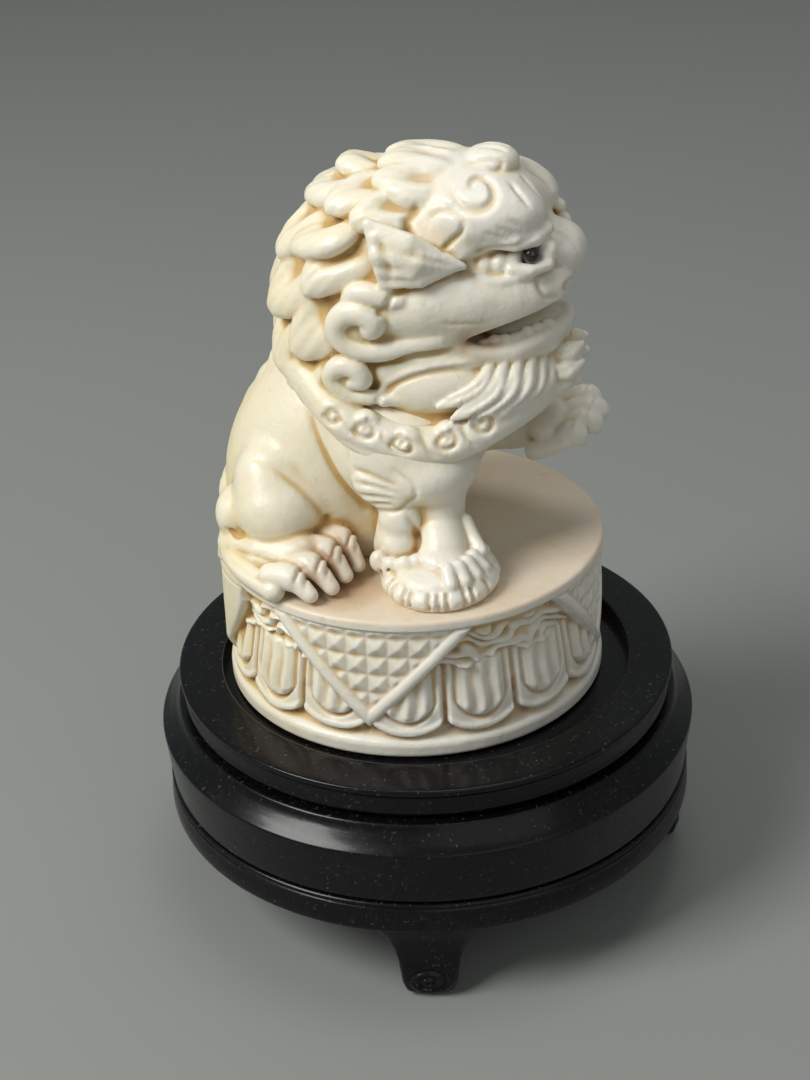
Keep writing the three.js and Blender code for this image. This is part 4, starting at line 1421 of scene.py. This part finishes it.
class LION_OT_carve_pedestal(bpy.types.Operator):
    """Carve the round pedestal with its petals, folds and cloth corners"""

    bl_idname = "lion.carve_pedestal"
    bl_label = "Carve Pedestal"

    def execute(self, context):
        settings = context.scene.lion_carving
        skin_of, spread = carved_pedestal(PEDESTAL_COLUMNS, settings.pedestal_grain / MM)
        make_piece("carved_pedestal", skin_of, material_once(carved_cream, settings), "figurine",
                   ["lotus_pedestal"], spread)
        return {"FINISHED"}


class LION_OT_turn_stand(bpy.types.Operator):
    """Turn the stand's three rings and the panel that the pedestal sits on"""

    bl_idname = "lion.turn_stand"
    bl_label = "Turn Stand"

    def execute(self, context):
        lacquer = material_once(black_lacquer, context.scene.lion_stand)
        for name, outline, node in (
            ("top_ring", top_ring(), "stand_top_ring"),
            ("shoulder_ring", shoulder_ring(), "stand_shoulder_ring"),
            ("base_ring", base_ring(), "stand_base_ring"),
        ):
            make_piece(name, turned(outline, RING_COLUMNS), lacquer, "stand", [node])
        outline = seat_panel()
        poles = np.array([(0, 0, outline[0, 1]), (0, 0, outline[-1, 1])])
        make_piece("seat_panel", turned(outline, PANEL_COLUMNS, poles), lacquer, "stand",
                   ["stand_seat_panel"])
        return {"FINISHED"}


class LION_OT_shape_feet(bpy.types.Operator):
    """Shape the stand's four feet, each with a volute on its toe"""

    bl_idname = "lion.shape_feet"
    bl_label = "Shape Feet"

    def execute(self, context):
        lacquer = material_once(black_lacquer, context.scene.lion_stand)
        for side in ("fore", "left", "rear", "right"):
            node = f"foot_{side}"
            make_piece(f"scrolled_foot_{side}", foot_skin(node), lacquer, "stand", [node])
        return {"FINISHED"}


class LION_OT_finish_pegs(bpy.types.Operator):
    """Give the pegs and dowels inside the joints their bare wood"""

    bl_idname = "lion.finish_pegs"
    bl_label = "Finish Pegs"

    def execute(self, context):
        wood = material_once(plain_wood)
        names = ["figure_peg_front", "figure_peg_rear"]
        names += [f"foot_dowel_{side}" for side in ("fore", "left", "rear", "right")]
        for name in names:
            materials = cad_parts[name].data.materials
            materials.clear()
            materials.append(wood)
        return {"FINISHED"}


FLOOR_REACH = 2.5
AIR_COLOUR, AIR_STRENGTH = (0.75, 0.78, 0.78, 1), 0.27
LIGHT_TARGET = Vector((0, 0, 0.06))
LIGHTS = (  # name, share of the key light's power, width, place
    ("key_light", 1.0, 0.3, (-0.36, -0.33, 0.52)),
    ("fill_light", 0.3, 0.9, (0.6, -0.7, 0.6)),
    ("top_light", 0.22, 0.3, (0.05, 0.1, 0.75)),
)
CAMERA_PLACE = (0.0549, -0.2135, 0.1699)
CAMERA_PITCH, CAMERA_ROLL, CAMERA_HEADING = (math.radians(a) for a in (28.66, 2.28, 15.0))


def aimed_light(name, power, size, place):
    """A square of soft light that faces the figure."""
    light = bpy.data.lights.new(name, "AREA")
    light.energy, light.size = power, size
    light.color = (1.0, 0.985, 0.96)
    lamp = bpy.data.objects.new(name, light)
    lamp.location = place
    lamp.rotation_euler = (LIGHT_TARGET - Vector(place)).to_track_quat("-Z", "Y").to_euler()
    bpy.context.scene.collection.objects.link(lamp)


class LION_OT_set_stage(bpy.types.Operator):
    """Lay the pale floor, hang the soft lights and place the camera"""

    bl_idname = "lion.set_stage"
    bl_label = "Set Stage"

    def execute(self, context):
        settings = context.scene.lion_stage
        corners = [(FLOOR_REACH * x, FLOOR_REACH * y, 0) for x, y in ((-1, -1), (1, -1), (1, 1), (-1, 1))]
        mesh = bpy.data.meshes.new("floor")
        mesh.from_pydata(corners, [], [(0, 1, 2, 3)])
        floor = bpy.data.objects.new("floor", mesh)
        paint = Paint("floor_paper")
        cloud = paint.noise(9.0, 3.0, 0.5)
        shade = colour([c * 0.96 for c in settings.floor])
        mesh.materials.append(paint.finish(
            Base_Color=paint.mix(cloud, colour(settings.floor), shade), Roughness=0.75))
        context.scene.collection.objects.link(floor)

        for name, share, size, place in LIGHTS:
            aimed_light(name, settings.key_power * share, size, place)
        world = bpy.data.worlds.new("pale_room")
        world.use_nodes = True
        air = world.node_tree.nodes["Background"].inputs
        air["Color"].default_value, air["Strength"].default_value = AIR_COLOUR, AIR_STRENGTH
        context.scene.world = world
        context.scene.view_settings.view_transform = "Standard"

        camera = bpy.data.cameras.new("camera")
        camera.lens, camera.sensor_width = settings.lens, 36.0
        camera.clip_start = 0.01
        eye = bpy.data.objects.new("camera", camera)
        eye.matrix_world = camera_place()
        context.scene.collection.objects.link(eye)
        context.scene.camera = eye
        return {"FINISHED"}


def camera_place():
    """The camera's place: turned to look down at the lion's right side, and rolled a little."""
    right, ahead = Vector((1, 0, 0)), Vector((0, math.cos(CAMERA_PITCH), -math.sin(CAMERA_PITCH)))
    down = Vector((0, -math.sin(CAMERA_PITCH), -math.cos(CAMERA_PITCH)))
    across = math.cos(CAMERA_ROLL) * right + math.sin(CAMERA_ROLL) * down
    below = math.cos(CAMERA_ROLL) * down - math.sin(CAMERA_ROLL) * right
    turn = Matrix.Rotation(CAMERA_HEADING, 3, "Z")
    axes = Matrix((turn @ across, turn @ -below, turn @ -ahead)).transposed()
    return Matrix.Translation(CAMERA_PLACE) @ axes.to_4x4()


class LION_PT_pieces(bpy.types.Panel):
    """The pieces of the lion and its stand, and their sizes and colours"""

    bl_idname = "LION_PT_pieces"
    bl_label = "Guardian Lion"
    bl_space_type = "VIEW_3D"
    bl_region_type = "UI"
    bl_category = "Lion"

    def draw(self, context):
        for settings in (context.scene.lion_carving, context.scene.lion_stand, context.scene.lion_stage):
            box = self.layout.box()
            for name in settings.__annotations__:
                box.prop(settings, name)
        for operator in MAKERS:
            self.layout.operator(operator.bl_idname)


GROUPS = {"lion_carving": CarvingSettings, "lion_stand": StandSettings, "lion_stage": StageSettings}
MAKERS = (
    LION_OT_set_stage,
    LION_OT_turn_stand,
    LION_OT_shape_feet,
    LION_OT_finish_pegs,
    LION_OT_carve_pedestal,
    LION_OT_set_eyes,
    LION_OT_carve_body,
    LION_OT_carve_head,
)


def register():
    """Adds the settings, the operators and the panel to Blender."""
    for group in GROUPS.values():
        bpy.utils.register_class(group)
    for name, group in GROUPS.items():
        setattr(bpy.types.Scene, name, bpy.props.PointerProperty(type=group))
    for maker in (*MAKERS, LION_PT_pieces):
        bpy.utils.register_class(maker)


def unregister():
    """Takes them all away again."""
    for maker in reversed((*MAKERS, LION_PT_pieces)):
        bpy.utils.unregister_class(maker)
    for name in GROUPS:
        delattr(bpy.types.Scene, name)
    for group in reversed(GROUPS.values()):
        bpy.utils.unregister_class(group)


def main():
    """Makes every piece."""
    register()
    for maker in MAKERS:
        group, action = maker.bl_idname.split(".")
        getattr(getattr(bpy.ops, group), action)()


if __name__ == "__main__":
    main()
